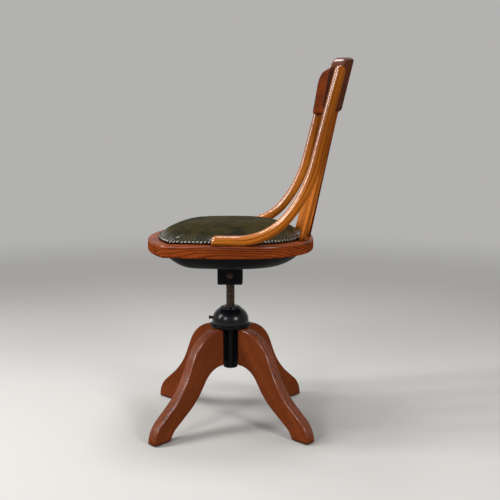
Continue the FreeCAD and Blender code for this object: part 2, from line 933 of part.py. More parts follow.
def make_bracket(pin, bolts):
    """A cast block under the pan, bored from below for the spindle's head."""
    body = new_body("bracket_blank")
    plan = new_sketch(body, "bracket_plan", "XY_Plane", d.bracket_bottom)
    outline(plan, [
        (d.bracket_half_x, d.bracket_half_y),
        (-d.bracket_half_x, d.bracket_half_y),
        (-d.bracket_half_x, -d.bracket_half_y),
        (d.bracket_half_x, -d.bracket_half_y),
    ])
    tall = d.pan_bottom - d.bracket_bottom
    feature(body, "Pad", "block", plan, Length=tall)
    mouth = new_sketch(body, "bore_plan", "XY_Plane", d.bracket_bottom)
    circles(mouth, [(0, 0)], d.spindle_head + d.bracket_bore_play)
    deep = d.bracket_roof - d.bracket_bottom
    bore = feature(body, "Pocket", "head_bore", mouth, Length=deep)
    bore.Reversed = True
    cut_volume(body, bore, math.pi * d.spindle_head.value ** 2 * deep.value)

    def corner(edge, middle):
        upright = abs(edge.Length - tall.value) < 0.01
        return upright and math.hypot(middle.x, middle.y) > d.bracket_half_x.value
    round_edges(body, "bracket_corners", d.bracket_corner, corner)
    low = (d.bracket_bottom + SPARE).value

    def foot(edge, middle):
        return middle.z < low and math.hypot(middle.x, middle.y) > d.bracket_half_y.value - 1
    round_edges(body, "bracket_foot", d.bracket_corner / 2, foot)
    return cut_away("seat_bracket", body, [pin, bolts])


# Seat outline, frame, pan, webbing and pad


def seat_outline(sketch, inset, corner):
    """The seat's plan drawn in by an inset: round back, tapering sides, bowed front."""
    inset = as_size(inset)
    corner = as_size(corner)
    back = d.seat_back_radius - inset
    bow = d.seat_bow_radius - inset
    bow_centre = d.seat_bow_radius - d.seat_front
    slope = math.radians(d.seat_side_slope.value)
    out = Vector(-math.sin(slope), math.cos(slope), 0)
    ahead = Vector(-math.cos(slope), -math.sin(slope), 0)
    turn_in = out * back.value
    # The corner's centre is one radius inside both the side and the bow.
    start = out * (back.value - corner.value)
    gap = start - Vector(bow_centre.value, 0, 0)
    near = bow.value - corner.value
    run = -gap.dot(ahead) + math.sqrt(gap.dot(ahead) ** 2 - gap.dot(gap) + near ** 2)
    centre = start + ahead * run
    side_end = centre + out * corner.value
    toward = (centre - Vector(bow_centre.value, 0, 0)).normalize()
    bow_end = centre + toward * corner.value
    middle = centre + (out + toward).normalize() * corner.value

    def flip(point):
        return Vector(point.x, -point.y, 0)

    shapes = [
        Part.Arc(flip(turn_in), Vector(back.value, 0, 0), turn_in),
        Part.LineSegment(turn_in, side_end),
        Part.Arc(side_end, middle, bow_end),
        Part.Arc(bow_end, Vector((bow_centre - bow).value, 0, 0), flip(bow_end)),
        Part.Arc(flip(bow_end), flip(middle), flip(side_end)),
        Part.LineSegment(flip(side_end), flip(turn_in)),
    ]
    first = sketch.addGeometry(shapes[0], False)
    for shape in shapes[1:]:
        last = sketch.addGeometry(shape, False)
    for shape in range(first, last + 1):
        following = first if shape == last else shape + 1
        rule(sketch, "Tangent", shape, 2, following, 1)
    rule(sketch, "Coincident", first, 3, -1, 1)
    rule(sketch, "PointOnObject", first + 3, 3, -1)
    rule(sketch, "DistanceX", -1, 1, first + 3, 3, size=bow_centre)
    rule(sketch, "Radius", first, size=back)
    rule(sketch, "Radius", first + 2, size=corner)
    rule(sketch, "Radius", first + 3, size=bow)
    rule(sketch, "Radius", first + 4, size=corner)
    rule(sketch, "Angle", first + 1, size=d.seat_side_slope - 180)
    rule(sketch, "Angle", first + 5, size=-d.seat_side_slope)


def loft(body, kind, name, stages):
    """A loft through seat outlines given as (inset, height, corner radius, shift along X)."""
    sketches = []
    for number, (inset, height, corner, shift) in enumerate(stages, start=1):
        sketch = new_sketch(body, f"{name}_{number}", "XY_Plane", height, shift)
        seat_outline(sketch, inset, corner)
        sketches.append(sketch)
    doc.recompute()
    made = body.newObject(f"PartDesign::{kind}", name)
    made.Profile = sketches[0]
    made.Sections = sketches[1:]
    made.Refine = False
    body.Tip = made
    doc.recompute()
    return made


def make_frame(tools):
    """The oak seat frame: moulded rim, open middle and a rebate for the leather's edge."""
    body = new_body("frame_blank")
    plan = new_sketch(body, "frame_plan", "XY_Plane", d.frame_bottom)
    seat_outline(plan, 0, d.seat_corner)
    feature(body, "Pad", "frame_board", plan, Length=d.frame_top - d.frame_bottom)

    def rim(edge, middle):
        return abs(edge.Vertexes[0].Z - edge.Vertexes[-1].Z) < 0.01
    round_edges(body, "frame_moulding", d.frame_edge, rim)
    middle = new_sketch(body, "frame_opening", "XY_Plane", d.frame_bottom)
    seat_outline(middle, d.frame_width, d.frame_inner_corner)
    opening = feature(body, "Pocket", "opening", middle, Length=d.frame_top - d.frame_bottom)
    opening.Reversed = True
    cut_volume(body, opening, 4 * d.seat_corner.value ** 2 * d.frame_width.value)
    rebate_plan = new_sketch(body, "rebate_plan", "XY_Plane", d.frame_top)
    seat_outline(rebate_plan, d.pad_inset, d.rebate_corner)
    rebate = feature(body, "Pocket", "rebate", rebate_plan, Length=d.rebate_depth)
    cut_volume(body, rebate, d.rebate_depth.value ** 2 * d.seat_back_radius.value)
    return cut_away("seat_frame", body, tools)


def make_pan(tools):
    """The black iron pan: a shallow dish with a turned-out flange under the frame."""
    body = new_body("pan_blank")
    shift = d.pan_shift
    wall = d.pan_wall
    loft(body, "AdditiveLoft", "dish", [
        (d.pan_bottom_inset, d.pan_bottom, d.pan_corner, shift),
        (d.pan_mid_inset, d.pan_mid, d.pan_corner, shift),
        (d.pan_top_inset, d.pan_rim, d.pan_corner, shift),
    ])
    plan = new_sketch(body, "pan_flange_plan", "XY_Plane", d.pan_rim - wall, shift)
    seat_outline(plan, d.pan_flange_inset, d.pan_corner)
    feature(body, "Pad", "pan_flange", plan, Length=wall)
    doc.recompute()
    loft(body, "SubtractiveLoft", "dish_inside", [
        (d.pan_bottom_inset + wall, d.pan_bottom + wall, d.pan_corner - wall, shift),
        (d.pan_mid_inset + wall, d.pan_mid + wall * 0.4, d.pan_corner - wall, shift),
        (d.pan_top_inset + wall, d.pan_rim + wall * 0.2, d.pan_corner - wall, shift),
    ])
    return cut_away("seat_pan", body, tools)


def make_pan_screws():
    """Eight round-head screws up through the pan's flange into the frame."""
    screws = []
    inset = (d.pan_flange_inset + d.pan_top_inset) / 2
    run = (d.seat_back_radius - inset).value
    height = (d.pan_rim - d.pan_wall).value
    places = []
    for angle in PAN_SCREW_ANGLES:
        turn = math.radians(angle)
        places.append(Vector(math.cos(turn) * run, math.sin(turn) * run, 0))
    places.append(Vector(-(d.seat_front - inset).value, 0, 0))
    for side in (LEFT, RIGHT):
        places.append(Vector(-d.pan_screw_fore.value, side * d.pan_screw_side.value, 0))
    for number, place in enumerate(places, start=1):
        point = place + Vector(d.pan_shift.value, 0, height)
        screws.append(round_screw(f"pan_screw_{number}", d.pan_screw_radius, d.pan_screw_length,
                                  d.pan_screw_head, Placement(point, Rotation())))
    return group("pan_screws", screws)


def make_webbing():
    """Woven webbing tacked in the rebate: a thin sheet with the gaps between its straps."""
    body = new_body("seat_webbing")
    floor = d.frame_top - d.rebate_depth
    plan = new_sketch(body, "web_plan", "XY_Plane", floor)
    seat_outline(plan, d.pad_inset + d.rebate_depth, d.web_corner)
    feature(body, "Pad", "web_sheet", plan, Length=d.web_thick)
    gaps = new_sketch(body, "web_gaps", "XY_Plane", floor)
    half = d.web_gap / 2
    for column in range(-2, 3):
        for row in range(-2, 3):
            across = d.web_pitch * column
            along_y = d.web_pitch * row
            if math.hypot(across.value, along_y.value) > d.web_reach.value:
                continue
            outline(gaps, [
                (across - half, along_y - half),
                (across + half, along_y - half),
                (across + half, along_y + half),
                (across - half, along_y + half),
            ])
    holes = feature(body, "Pocket", "web_openings", gaps, Length=d.web_thick)
    holes.Reversed = True
    cut_volume(body, holes, d.web_gap.value ** 2 * d.web_thick.value)
    return body


def make_pad():
    """The leather pad: close-nailed edge, sides that rise steeply, and a low crown."""
    body = new_body("seat_pad")
    floor = d.frame_top - d.rebate_depth + d.web_thick
    rise = d.pad_top - floor
    edge = d.pad_inset + d.pad_play
    stages = []
    for inset, share, corner in PAD_CROWN:
        stages.append((edge + inset, floor + rise * share, as_size(corner), ZERO))
    loft(body, "AdditiveLoft", "crown", stages)
    return body


# Back


def make_stay(node, side):
    """A steam-bent oak stay: flat foot on the frame, swept up and back to the crest's end."""
    body = new_body(node)
    body.Placement = Placement(Vector(0, side * d.stay_place.value, 0), Rotation())
    sketch = new_sketch(body, f"{node}_profile", "XZ_Plane")
    under = Pen(sketch, d.stay_front, d.stay_bottom)
    over = Pen(sketch, d.stay_front, d.stay_bottom + d.stay_thick)
    for pen, slack in ((under, ZERO), (over, d.stay_thick)):
        pen.line(d.stay_foot)
        pen.arc(d.stay_low_radius - slack, d.stay_low_turn, LEFT)
        pen.arc(d.stay_high_radius - slack, d.stay_high_turn, LEFT)
        pen.line(d.stay_upper)
    join_ends(sketch, under.last, over.last, under.point, over.point)
    join_ends(sketch, over.first, under.first,
              Vector(d.stay_front.value, (d.stay_bottom + d.stay_thick).value, 0),
              Vector(d.stay_front.value, d.stay_bottom.value, 0))
    centred(feature(body, "Pad", f"{node}_bar", sketch, Length=d.stay_width))
    half = d.stay_width.value / 2

    def end_corner(edge, middle):
        across = abs(edge.Length - 2 * half) < 0.01 and abs(middle.y) < 0.01
        tip = middle.z > under.point.y - 3
        front_top = middle.x < d.stay_front.value + 1 and middle.z > d.stay_bottom.value + 5
        return across and (tip or front_top)
    round_edges(body, f"{node}_ends", d.stay_end_round, end_corner)

    def arris(edge, middle):
        return all(abs(abs(v.Y) - half) < 0.01 for v in edge.Vertexes) and abs(middle.y) > half - 0.01
    round_edges(body, f"{node}_arrises", d.stay_round, arris)
    return body


def crest_middle(height, half_width):
    """Where the crest's mid thickness lies on X at a height and a distance from the middle."""
    share = (height - d.crest_bottom.value) / (d.crest_top.value - d.crest_bottom.value)
    back = d.crest_back_low.value + share * (d.crest_back_high - d.crest_back_low).value
    thick = d.crest_thick_low.value + share * (d.crest_thick_high - d.crest_thick_low).value
    radius = d.crest_curve.value
    return back - thick / 2 - (radius - math.sqrt(radius ** 2 - half_width ** 2))


def make_slat(node, side):
    """A reeded oak slat, tenoned into the frame below and the crest rail above."""
    place = side * d.slat_side_place.value
    foot_x = (d.slat_mid_foot if side == 0 else d.slat_side_foot).value
    foot = Vector(foot_x, place, d.frame_top.value)
    head_z = d.crest_bottom.value
    head = Vector(crest_middle(head_z, abs(place)), place, head_z)
    rise = (head - foot).normalize()
    tenon = d.slat_tenon.value
    body = new_body(node)
    lean = math.degrees(math.atan2(rise.x, rise.z))
    turn = Rotation(Vector(0, 1, 0), lean).multiply(
        Rotation(Vector(0, 0, 1), side * d.slat_side_turn.value))
    body.Placement = Placement(foot - rise * tenon, turn)
    sketch = new_sketch(body, f"{node}_section", "XY_Plane")
    half = d.slat_width / 2
    front = -(d.slat_thick / 2)
    back = d.slat_thick / 2
    third = d.slat_width / 6
    swell = (third * third + d.slat_reed_dip * d.slat_reed_dip) / (d.slat_reed_dip * 2)
    rim = front + d.slat_reed_dip
    flat = half - d.slat_corner
    outline(sketch, [
        (back, flat),
        (back - d.slat_corner, half, d.slat_corner, RIGHT),
        (rim, half),
        (rim, third, swell, RIGHT),
        (rim, -third, swell, RIGHT),
        (rim, -half, swell, RIGHT),
        (back - d.slat_corner, -half),
        (back, -flat, d.slat_corner, RIGHT),
    ])
    run = as_size(round((head - foot).Length + 2 * tenon, 3))
    feature(body, "Pad", f"{node}_bar", sketch, Length=run)
    doc.recompute()
    return body


def crest_arc(sketch, back_place, thick):
    """The crest's plan at one height: two arcs about the same curve, closed at the ends."""
    half = d.crest_half
    radius = d.crest_curve
    ends = []
    for place in (back_place - thick, back_place):
        centre = (place - radius).value
        reach = math.sqrt(radius.value ** 2 - half.value ** 2)
        arc = Part.Arc(Vector(centre + reach, -half.value, 0), Vector(place.value, 0, 0),
                       Vector(centre + reach, half.value, 0))
        shape = sketch.addGeometry(arc, False)
        rule(sketch, "PointOnObject", shape, 3, -1)
        rule(sketch, "DistanceX", -1, 1, shape, 3, size=place - radius)
        rule(sketch, "Radius", shape, size=radius)
        rule(sketch, "DistanceY", -1, 1, shape, 1, size=-half)
        rule(sketch, "DistanceY", -1, 1, shape, 2, size=half)
        ends.append((shape, centre + reach))
    for end, y in ((1, -half.value), (2, half.value)):
        join_ends(sketch, (ends[0][0], end), (ends[1][0], end),
                  Vector(ends[0][1], y, 0), Vector(ends[1][1], y, 0))


def make_crest(tools):
    """The crest rail: curved in plan, thicker and further back at the top, round shoulders."""
    body = new_body("crest_blank")
    low = new_sketch(body, "crest_low", "XY_Plane", d.crest_bottom)
    crest_arc(low, d.crest_back_low, d.crest_thick_low)
    high = new_sketch(body, "crest_high", "XY_Plane", d.crest_top)
    crest_arc(high, d.crest_back_high, d.crest_thick_high)
    doc.recompute()
    board = body.newObject("PartDesign::AdditiveLoft", "crest_board")
    board.Profile = low
    board.Sections = [high]
    body.Tip = board
    doc.recompute()
    shape = new_sketch(body, "crest_trim", "YZ_Plane")
    half = d.crest_half
    corner = d.crest_corner
    arch = d.crest_arch
    # The corner's arc runs into the top's long arc without a kink.
    inner = half - corner
    drop = ((arch - corner) * (arch - corner) - inner * inner).root()
    meet_y = inner * arch / (arch - corner)
    meet_z = d.crest_top - arch + drop * arch / (arch - corner)
    corner_low = d.crest_top - arch + drop
    spare = half + SPARE
    above = d.crest_top + SPARE
    outline(shape, [
        (-spare, above),
        (-spare, corner_low),
        (-half, corner_low),
        (-meet_y, meet_z, corner, LEFT),
        (meet_y, meet_z, arch, LEFT),
        (half, corner_low, corner, LEFT),
        (spare, corner_low),
        (spare, above),
    ])
    trimmed = feature(body, "Pocket", "crest_shape", shape, Length=(d.crest_back_high + SPARE) * 2)
    centred(trimmed)
    cut_volume(body, trimmed, corner.value ** 2 * d.crest_thick_low.value / 2)
    floor = d.crest_bottom.value

    def edge_line(edge, middle):
        above_floor = middle.z > floor + 70
        flat = abs(edge.Vertexes[0].X - edge.Vertexes[-1].X) > 12 and edge.Length < 40
        return above_floor and edge.Length > 30 and not flat
    round_edges(body, "crest_arrises", d.crest_edge, edge_line)
    return cut_away("crest_rail", body, tools)


def make_dowels():
    """Two dowels through each end of the crest rail into the stay."""
    dowels = []
    for side in (RIGHT, LEFT):
        for number, height in enumerate((d.dowel_low.value, d.dowel_high.value), start=1):
            x = crest_middle(height, d.crest_half.value)
            start = Vector(x, side * (d.crest_half + d.dowel_stand).value, height)
            dowels.append(cylinder(f"dowel_{number if side > 0 else number + 2}", d.dowel_radius,
                                   d.dowel_length, along(start, Vector(0, -side, 0))))
    return group("crest_dowels", dowels)


def make_stay_screws():
    """Two screws up through the frame into each stay's foot."""
    screws = []
    for side in (RIGHT, LEFT):
        for number, x in enumerate((d.stay_screw_fore, d.stay_screw_aft), start=1):
            point = Vector(x.value, side * d.stay_place.value, d.frame_bottom.value)
            name = f"stay_screw_{number if side > 0 else number + 2}"
            screws.append(wood_screw(name, d.stay_screw_radius, d.stay_screw_length,
                                     d.stay_screw_head, Placement(point, Rotation())))
    return group("stay_screws", screws)


def build_nodes():
    lug_screws = make_lug_screws()
    nodes = [make_hub(), make_tube_cap(), lug_screws, make_glides()]
    for index in range(4):
        nodes.append(make_leg(index, [lug_screws]))
    nodes += [make_dome(), make_thrust_washer(), make_thumb_screw(), make_nut(), make_stop_washer()]
    stop_pin = make_stop_pin()
    head_pin = make_bracket_pin()
    bolts = make_bolts()
    nodes += [stop_pin, head_pin, bolts]
    nodes += [make_spindle(stop_pin, head_pin), make_bracket(head_pin, bolts)]
    pan_screws = make_pan_screws()
    nodes += [pan_screws, make_pan([bolts, pan_screws]), make_webbing(), make_pad()]
    dowels = make_dowels()
    stay_screws = make_stay_screws()
    bars = [make_stay("stay_left_bar", -1), make_stay("stay_right_bar", 1)]
    slats = [make_slat("slat_left", -1), make_slat("slat_centre", 0), make_slat("slat_right", 1)]
    frame = make_frame(bars + slats + [pan_screws, stay_screws])
    crest = make_crest(slats + [dowels])
    stays = [cut_away("stay_left", bars[0], [dowels, stay_screws]),
             cut_away("stay_right", bars[1], [dowels, stay_screws])]
    return nodes + [dowels, stay_screws, frame, crest] + slats + stays


def check(nodes):
    """Stop on any failed object, and on any node whose shape is empty or not valid."""
    failed = [thing.Name for thing in doc.Objects if {"Invalid", "Error"} & set(thing.State)]
    for node in nodes:
        if node.Shape.isNull() or not node.Shape.isValid() or not node.Shape.Solids:
            failed.append(f"{node.Label} (no valid solid)")
    if failed:
        raise ValueError(f"did not build: {failed}")


def write_parts(nodes):
    os.makedirs("parts", exist_ok=True)
    for node in nodes:
        node.Shape.exportStep(f"parts/{node.Label}.step")
        solids = len(node.Shape.Solids)
        print(f"{node.Label:20s} {solids:2d} solid(s) {node.Shape.Volume / 1000:9.1f} cm3")


all_nodes = build_nodes()
doc.recompute()
check(all_nodes)
write_parts(all_nodes)
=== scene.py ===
# %% [markdown]
# # A bankers swivel chair
# An oak office chair stands on four legs round a black iron hub. The seat turns on a screw,
# and the back is two steam-bent stays, three reeded slats and a curved crest rail.
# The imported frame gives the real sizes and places, and this notebook gives each piece its finish.

# %% Load the fixed frame
from math import acos, atan2, copysign, cos, degrees, pi, radians, sin, sqrt

import bpy
import numpy as np
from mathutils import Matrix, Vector
from numpy.linalg import norm


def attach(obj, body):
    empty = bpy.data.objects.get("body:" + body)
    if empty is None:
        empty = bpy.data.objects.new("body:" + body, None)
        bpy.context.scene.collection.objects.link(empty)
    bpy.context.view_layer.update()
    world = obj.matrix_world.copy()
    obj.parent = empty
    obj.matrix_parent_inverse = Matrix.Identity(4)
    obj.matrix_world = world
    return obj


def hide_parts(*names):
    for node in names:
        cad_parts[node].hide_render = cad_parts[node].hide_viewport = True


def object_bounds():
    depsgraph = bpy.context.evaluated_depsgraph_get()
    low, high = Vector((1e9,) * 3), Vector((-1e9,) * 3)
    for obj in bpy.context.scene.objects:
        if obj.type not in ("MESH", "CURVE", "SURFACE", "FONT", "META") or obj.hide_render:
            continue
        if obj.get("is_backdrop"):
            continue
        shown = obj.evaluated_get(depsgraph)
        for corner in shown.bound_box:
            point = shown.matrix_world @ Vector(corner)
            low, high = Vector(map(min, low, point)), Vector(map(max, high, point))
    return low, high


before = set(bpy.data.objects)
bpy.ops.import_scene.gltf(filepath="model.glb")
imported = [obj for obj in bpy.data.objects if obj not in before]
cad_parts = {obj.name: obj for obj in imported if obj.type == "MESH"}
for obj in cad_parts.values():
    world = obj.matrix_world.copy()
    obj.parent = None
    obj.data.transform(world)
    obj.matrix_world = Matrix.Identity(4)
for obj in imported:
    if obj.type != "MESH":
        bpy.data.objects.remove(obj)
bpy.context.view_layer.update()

MM = 0.001

# %% [markdown]
# ## The camera
# The chair was seen from its left side, with the eye just below the crest rail. The camera
# stands where the real one stood, so every piece falls on the same place in the picture. Its
# small turn is the angle at which the seat stood to the picture.

# %% Camera
CAMERA_PLACE = (0.0865, -1.9287, 0.717)
CAMERA_DOWN = 8.28
CAMERA_TURN = 1.1
CAMERA_LENS = 56.16
SENSOR_WIDTH = 36
lens = bpy.data.cameras.new("camera")
lens.lens = CAMERA_LENS
lens.sensor_width = SENSOR_WIDTH
camera = bpy.data.objects.new("camera", lens)
camera.location = CAMERA_PLACE
camera.rotation_euler = (radians(90 - CAMERA_DOWN), 0, radians(CAMERA_TURN))
bpy.context.scene.collection.objects.link(camera)
bpy.context.scene.camera = camera
print("camera at", CAMERA_PLACE)

# %% [markdown]
# ## Shader helpers
# A finish is a tree of small nodes. These helpers add a node and feed it, and they name the
# few sums, mixes and noises that every finish here is made of.

# %% Nodes and sums
def feed(tree, target, inputs):
    """Give each input its value, or link it to the socket that drives it."""
    for key, value in inputs.items():
        if isinstance(value, bpy.types.NodeSocket):
            tree.links.new(value, target.inputs[key])
        else:
            target.inputs[key].default_value = value


def node(tree, kind, inputs=None, **settings):
    """Add a shader node, with its settings and what feeds its inputs."""
    made = tree.nodes.new(kind)
    for key, value in settings.items():
        setattr(made, key, value)
    feed(tree, made, inputs or {})
    return made


def maths(tree, operation, *values, clamp=False):
    """One sum on numbers or sockets."""
    made = node(tree, "ShaderNodeMath", dict(enumerate(values)), operation=operation, use_clamp=clamp)
    return made.outputs[0]


def times(tree, value, factor, clamp=False):
    """A value times a factor."""
    return maths(tree, "MULTIPLY", value, factor, clamp=clamp)


def times_add(tree, value, factor, rest, clamp=False):
    """A value times a factor, and the rest added."""
    return maths(tree, "MULTIPLY_ADD", value, factor, rest, clamp=clamp)


def inverse(tree, value):
    """One less a value."""
    return maths(tree, "SUBTRACT", 1.0, value)


def ramp(tree, value, low, high):
    """A value brought from low..high to 0..1 with soft ends."""
    return node(tree, "ShaderNodeMapRange", {"Value": value, "From Min": low, "From Max": high},
                interpolation_type="SMOOTHSTEP").outputs[0]


def mixed(tree, share, first, second):
    """Two colours mixed by a share."""
    return node(tree, "ShaderNodeMix", {0: share, 6: first, 7: second}, data_type="RGBA").outputs[2]


def tinted(tree, colour, tint, share, amount):
    """A colour drawn towards a tint, by an amount where the share is 1."""
    return mixed(tree, times(tree, share, amount), colour, tint)


# %% Places, noise and materials
def own_place(tree):
    """Where a point lies on its own piece, in metres."""
    return node(tree, "ShaderNodeTexCoord").outputs["Object"]


def own_height(tree):
    """How high a point lies on its own piece, in metres."""
    return node(tree, "ShaderNodeSeparateXYZ", {0: own_place(tree)}).outputs[2]


def facing(tree, way):
    """How squarely the surface looks one way, from -1 to 1."""
    normal = node(tree, "ShaderNodeTexCoord").outputs["Normal"]
    return node(tree, "ShaderNodeVectorMath", {0: normal, 1: way}, operation="DOT_PRODUCT").outputs["Value"]


def marked(tree, name):
    """Three numbers that each point of the mesh carries under a name."""
    return node(tree, "ShaderNodeAttribute", attribute_name=name).outputs["Vector"]


def noise(tree, vector, scale, detail=2.0, roughness=0.5):
    """Smooth noise from 0 to 1 on a vector."""
    return node(tree, "ShaderNodeTexNoise",
                {"Vector": vector, "Scale": scale, "Detail": detail, "Roughness": roughness}).outputs["Fac"]


def bumped(tree, height, distance):
    """A normal roughened by a height of some distance in metres."""
    return node(tree, "ShaderNodeBump", {"Height": height, "Distance": distance, "Strength": 1.0}).outputs[0]


def new_finish(name):
    """A material with its tree and its shader."""
    made = bpy.data.materials.new(name)
    made.use_nodes = True
    return made, made.node_tree, made.node_tree.nodes["Principled BSDF"]

# %% [markdown]
# ## Floor and light
# A plain pale floor runs out of sight, and far from the chair it fades into the backdrop's
# colour, so that no horizon shows. The fade works only on rays that show the floor, so it
# lights nothing. Two soft boxes stand behind the camera, one each side, because the iron dome
# shows a pair of bright spots. A tall narrow one on the left draws the long pale line on the
# stays, and the last hangs overhead. A lamp is its place, width, height and power.

# %% Floor and lamps
FLOOR_COLOUR = (0.50, 0.49, 0.47, 1)
FLOOR_SIZE = 28
FADE_FROM, FADE_TO = 1.2, 4.0
BACKDROP = (0.45, 0.445, 0.435, 1)
AMBIENT = 0.5
SEAT_MIDDLE = Vector((0, 0, 0.4))
LAMPS = {
    "left_box": ((-1.5, -2.4, 1.8), 0.7, 0.7, 34),
    "right_box": ((1.9, -2.2, 1.8), 0.7, 0.7, 46),
    "window": ((-1.5, -0.3, 1.8), 0.28, 2.0, 44),
    "top_box": ((0.2, 0.3, 2.6), 0.7, 0.7, 26),
}
bpy.context.scene.view_settings.view_transform = "Standard"


def seen_rays(tree):
    """1 for rays that show a surface, straight or by a mirror; 0 for those that only light it."""
    rays = node(tree, "ShaderNodeLightPath").outputs
    seen = rays["Is Camera Ray"]
    for kind in ("Is Glossy Ray", "Is Transmission Ray"):
        seen = maths(tree, "MAXIMUM", seen, rays[kind])
    return seen


for name, (place, wide, high, power) in LAMPS.items():
    light = bpy.data.lights.new(name, "AREA")
    light.shape = "RECTANGLE"
    light.size = wide
    light.size_y = high
    light.energy = power
    lamp = bpy.data.objects.new(name, light)
    lamp.location = place
    lamp.rotation_euler = (SEAT_MIDDLE - Vector(place)).to_track_quat("-Z", "Y").to_euler()
    bpy.context.scene.collection.objects.link(lamp)

world = bpy.data.worlds.new("studio")
bpy.context.scene.world = world
world.use_nodes = True
tree = world.node_tree
strength = times_add(tree, seen_rays(tree), 1 - AMBIENT, AMBIENT)
feed(tree, tree.nodes["Background"], {"Color": BACKDROP, "Strength": strength})

bpy.ops.mesh.primitive_grid_add(x_subdivisions=2, y_subdivisions=2, size=FLOOR_SIZE)
floor = bpy.context.object
floor.name = "floor"
floor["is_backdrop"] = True
paint, tree, shader = new_finish("floor_paint")
feed(tree, shader, {"Base Color": FLOOR_COLOUR, "Roughness": 0.9})
here = node(tree, "ShaderNodeNewGeometry").outputs["Position"]
away = node(tree, "ShaderNodeVectorMath", {0: here}, operation="LENGTH").outputs["Value"]
share = times(tree, ramp(tree, away, FADE_FROM, FADE_TO), seen_rays(tree))
distance = node(tree, "ShaderNodeEmission", {"Color": BACKDROP})
both = node(tree, "ShaderNodeMixShader", {0: share, 1: shader.outputs[0], 2: distance.outputs[0]})
feed(tree, tree.nodes["Material Output"], {"Surface": both.outputs[0]})
floor.data.materials.append(paint)
print("lamps", list(LAMPS))

# %% [markdown]
# ## Shared effects
# Three effects are used by more than one finish, so each is a node group: oak figure, worn
# edges, and grime with painted shade in corners. A group gives out colours and masks only,
# and the shader stays in the material.

# %% Group helpers
def new_group(name, sockets_in, sockets_out):
    """A node group with named sockets, each given as its name and kind."""
    tree = bpy.data.node_groups.new(name, "ShaderNodeTree")
    for way, sockets in (("INPUT", sockets_in), ("OUTPUT", sockets_out)):
        for label, kind in sockets.items():
            tree.interface.new_socket(label, in_out=way, socket_type=f"NodeSocket{kind}")
    return tree, tree.nodes.new("NodeGroupInput").outputs, tree.nodes.new("NodeGroupOutput")


def use_group(tree, group, **values):
    """A group placed in a material; underscores in a name stand for spaces."""
    inputs = {key.replace("_", " "): value for key, value in values.items()}
    return node(tree, "ShaderNodeGroup", inputs, node_tree=group).outputs

# %% [markdown]
# ### Oak figure
# Oak has growth rings that show as long lines, fine dark pores that lie in dashes along the
# grain, and slow changes of tone. Each wooden piece carries a "grain" attribute: metres
# along its own grain, and two across. So the figure follows a bent stay round its bend.

# %% Oak figure group
PORE = (0.04, 0.015, 0.008, 1)
PORE_LIMITS = (0.60, 0.74)
RING_SLANT = 0.45
EARLY_WOOD = 2.4


def make_oak_figure():
    """Rings, pores, streaks and blotches along the grain."""
    tree, given, out = new_group("oak_figure", {
        "Grain": "Vector", "Light Wood": "Color", "Dark Wood": "Color", "Ring Count": "Float",
        "Contrast": "Float", "Wander": "Float",
    }, {"Color": "Color", "Roughness": "Float", "Height": "Float"})

    def drawn_out(along, across, detail, roughness=0.5):
        """Noise drawn out along the grain, by its scales along and across it."""
        lines = node(tree, "ShaderNodeMapping", {"Vector": given["Grain"], "Scale": (along, across, across)})
        return noise(tree, lines.outputs[0], 1.0, detail, roughness)

    drift = drawn_out(2.2, 16, 2)
    streak = drawn_out(7, 330, 3, 0.6)
    blotch = drawn_out(5, 22, 3, 0.55)
    dashes = drawn_out(55, 1500, 1)
    split = node(tree, "ShaderNodeSeparateXYZ", {0: given["Grain"]}).outputs
    across = times_add(tree, split[2], RING_SLANT, split[1])
    turns = times(tree, across, given["Ring Count"])
    turns = times_add(tree, drift, given["Wander"], turns)
    early = maths(tree, "POWER", inverse(tree, maths(tree, "FRACT", turns)), EARLY_WOOD)
    pores = ramp(tree, times_add(tree, early, 0.16, dashes), *PORE_LIMITS)
    tone = times_add(tree, early, 0.42, times(tree, streak, 0.75))
    tone = maths(tree, "SUBTRACT", times_add(tree, blotch, 0.85, tone), 0.92)
    contrast = times(tree, given["Contrast"], 1.25)
    tone = times_add(tree, tone, contrast, 0.5, clamp=True)
    wood = mixed(tree, tone, given["Light Wood"], given["Dark Wood"])
    dull = times_add(tree, pores, 0.16, 0.26)
    feed(tree, out, {
        "Color": tinted(tree, wood, PORE, pores, 0.6),
        "Roughness": times_add(tree, streak, 0.10, dull),
        "Height": times_add(tree, pores, -0.7, times(tree, early, -0.25)),
    })
    return tree


oak_figure = make_oak_figure()
print("oak figure nodes", len(oak_figure.nodes))

# %% [markdown]
# ### Worn edges, and grime with painted shade
# Hands and shoes rub a finish off its edges, and dirt settles in its corners. A bevelled
# normal differs from the true one only near an edge, which finds the edges whatever the
# mesh. Grime and painted shade go where the surface sees little of its surroundings, which
# is where shade falls.

# %% Edge wear, and grime with painted shade, groups
WEAR_GAIN = 5.0
WEAR_PATCHES = (0.42, 0.62)
GRIME_AND_SHADE_CLOUD = 120.0


def make_edge_wear():
    """A mask of rubbed edges, broken up into patches."""
    tree, given, out = new_group("edge_wear", {"Radius": "Float", "Patch Size": "Float", "Amount": "Float"},
                                 {"Mask": "Float"})
    bevelled = node(tree, "ShaderNodeBevel", {"Radius": given["Radius"]}, samples=4).outputs[0]
    surface = node(tree, "ShaderNodeNewGeometry").outputs["Normal"]
    agree = node(tree, "ShaderNodeVectorMath", {0: bevelled, 1: surface}, operation="DOT_PRODUCT")
    edges = times(tree, inverse(tree, agree.outputs["Value"]), WEAR_GAIN)
    patches = ramp(tree, noise(tree, own_place(tree), given["Patch Size"], 4, 0.65), *WEAR_PATCHES)
    mask = times(tree, edges, patches)
    feed(tree, out, {"Mask": times(tree, mask, given["Amount"], clamp=True)})
    return tree


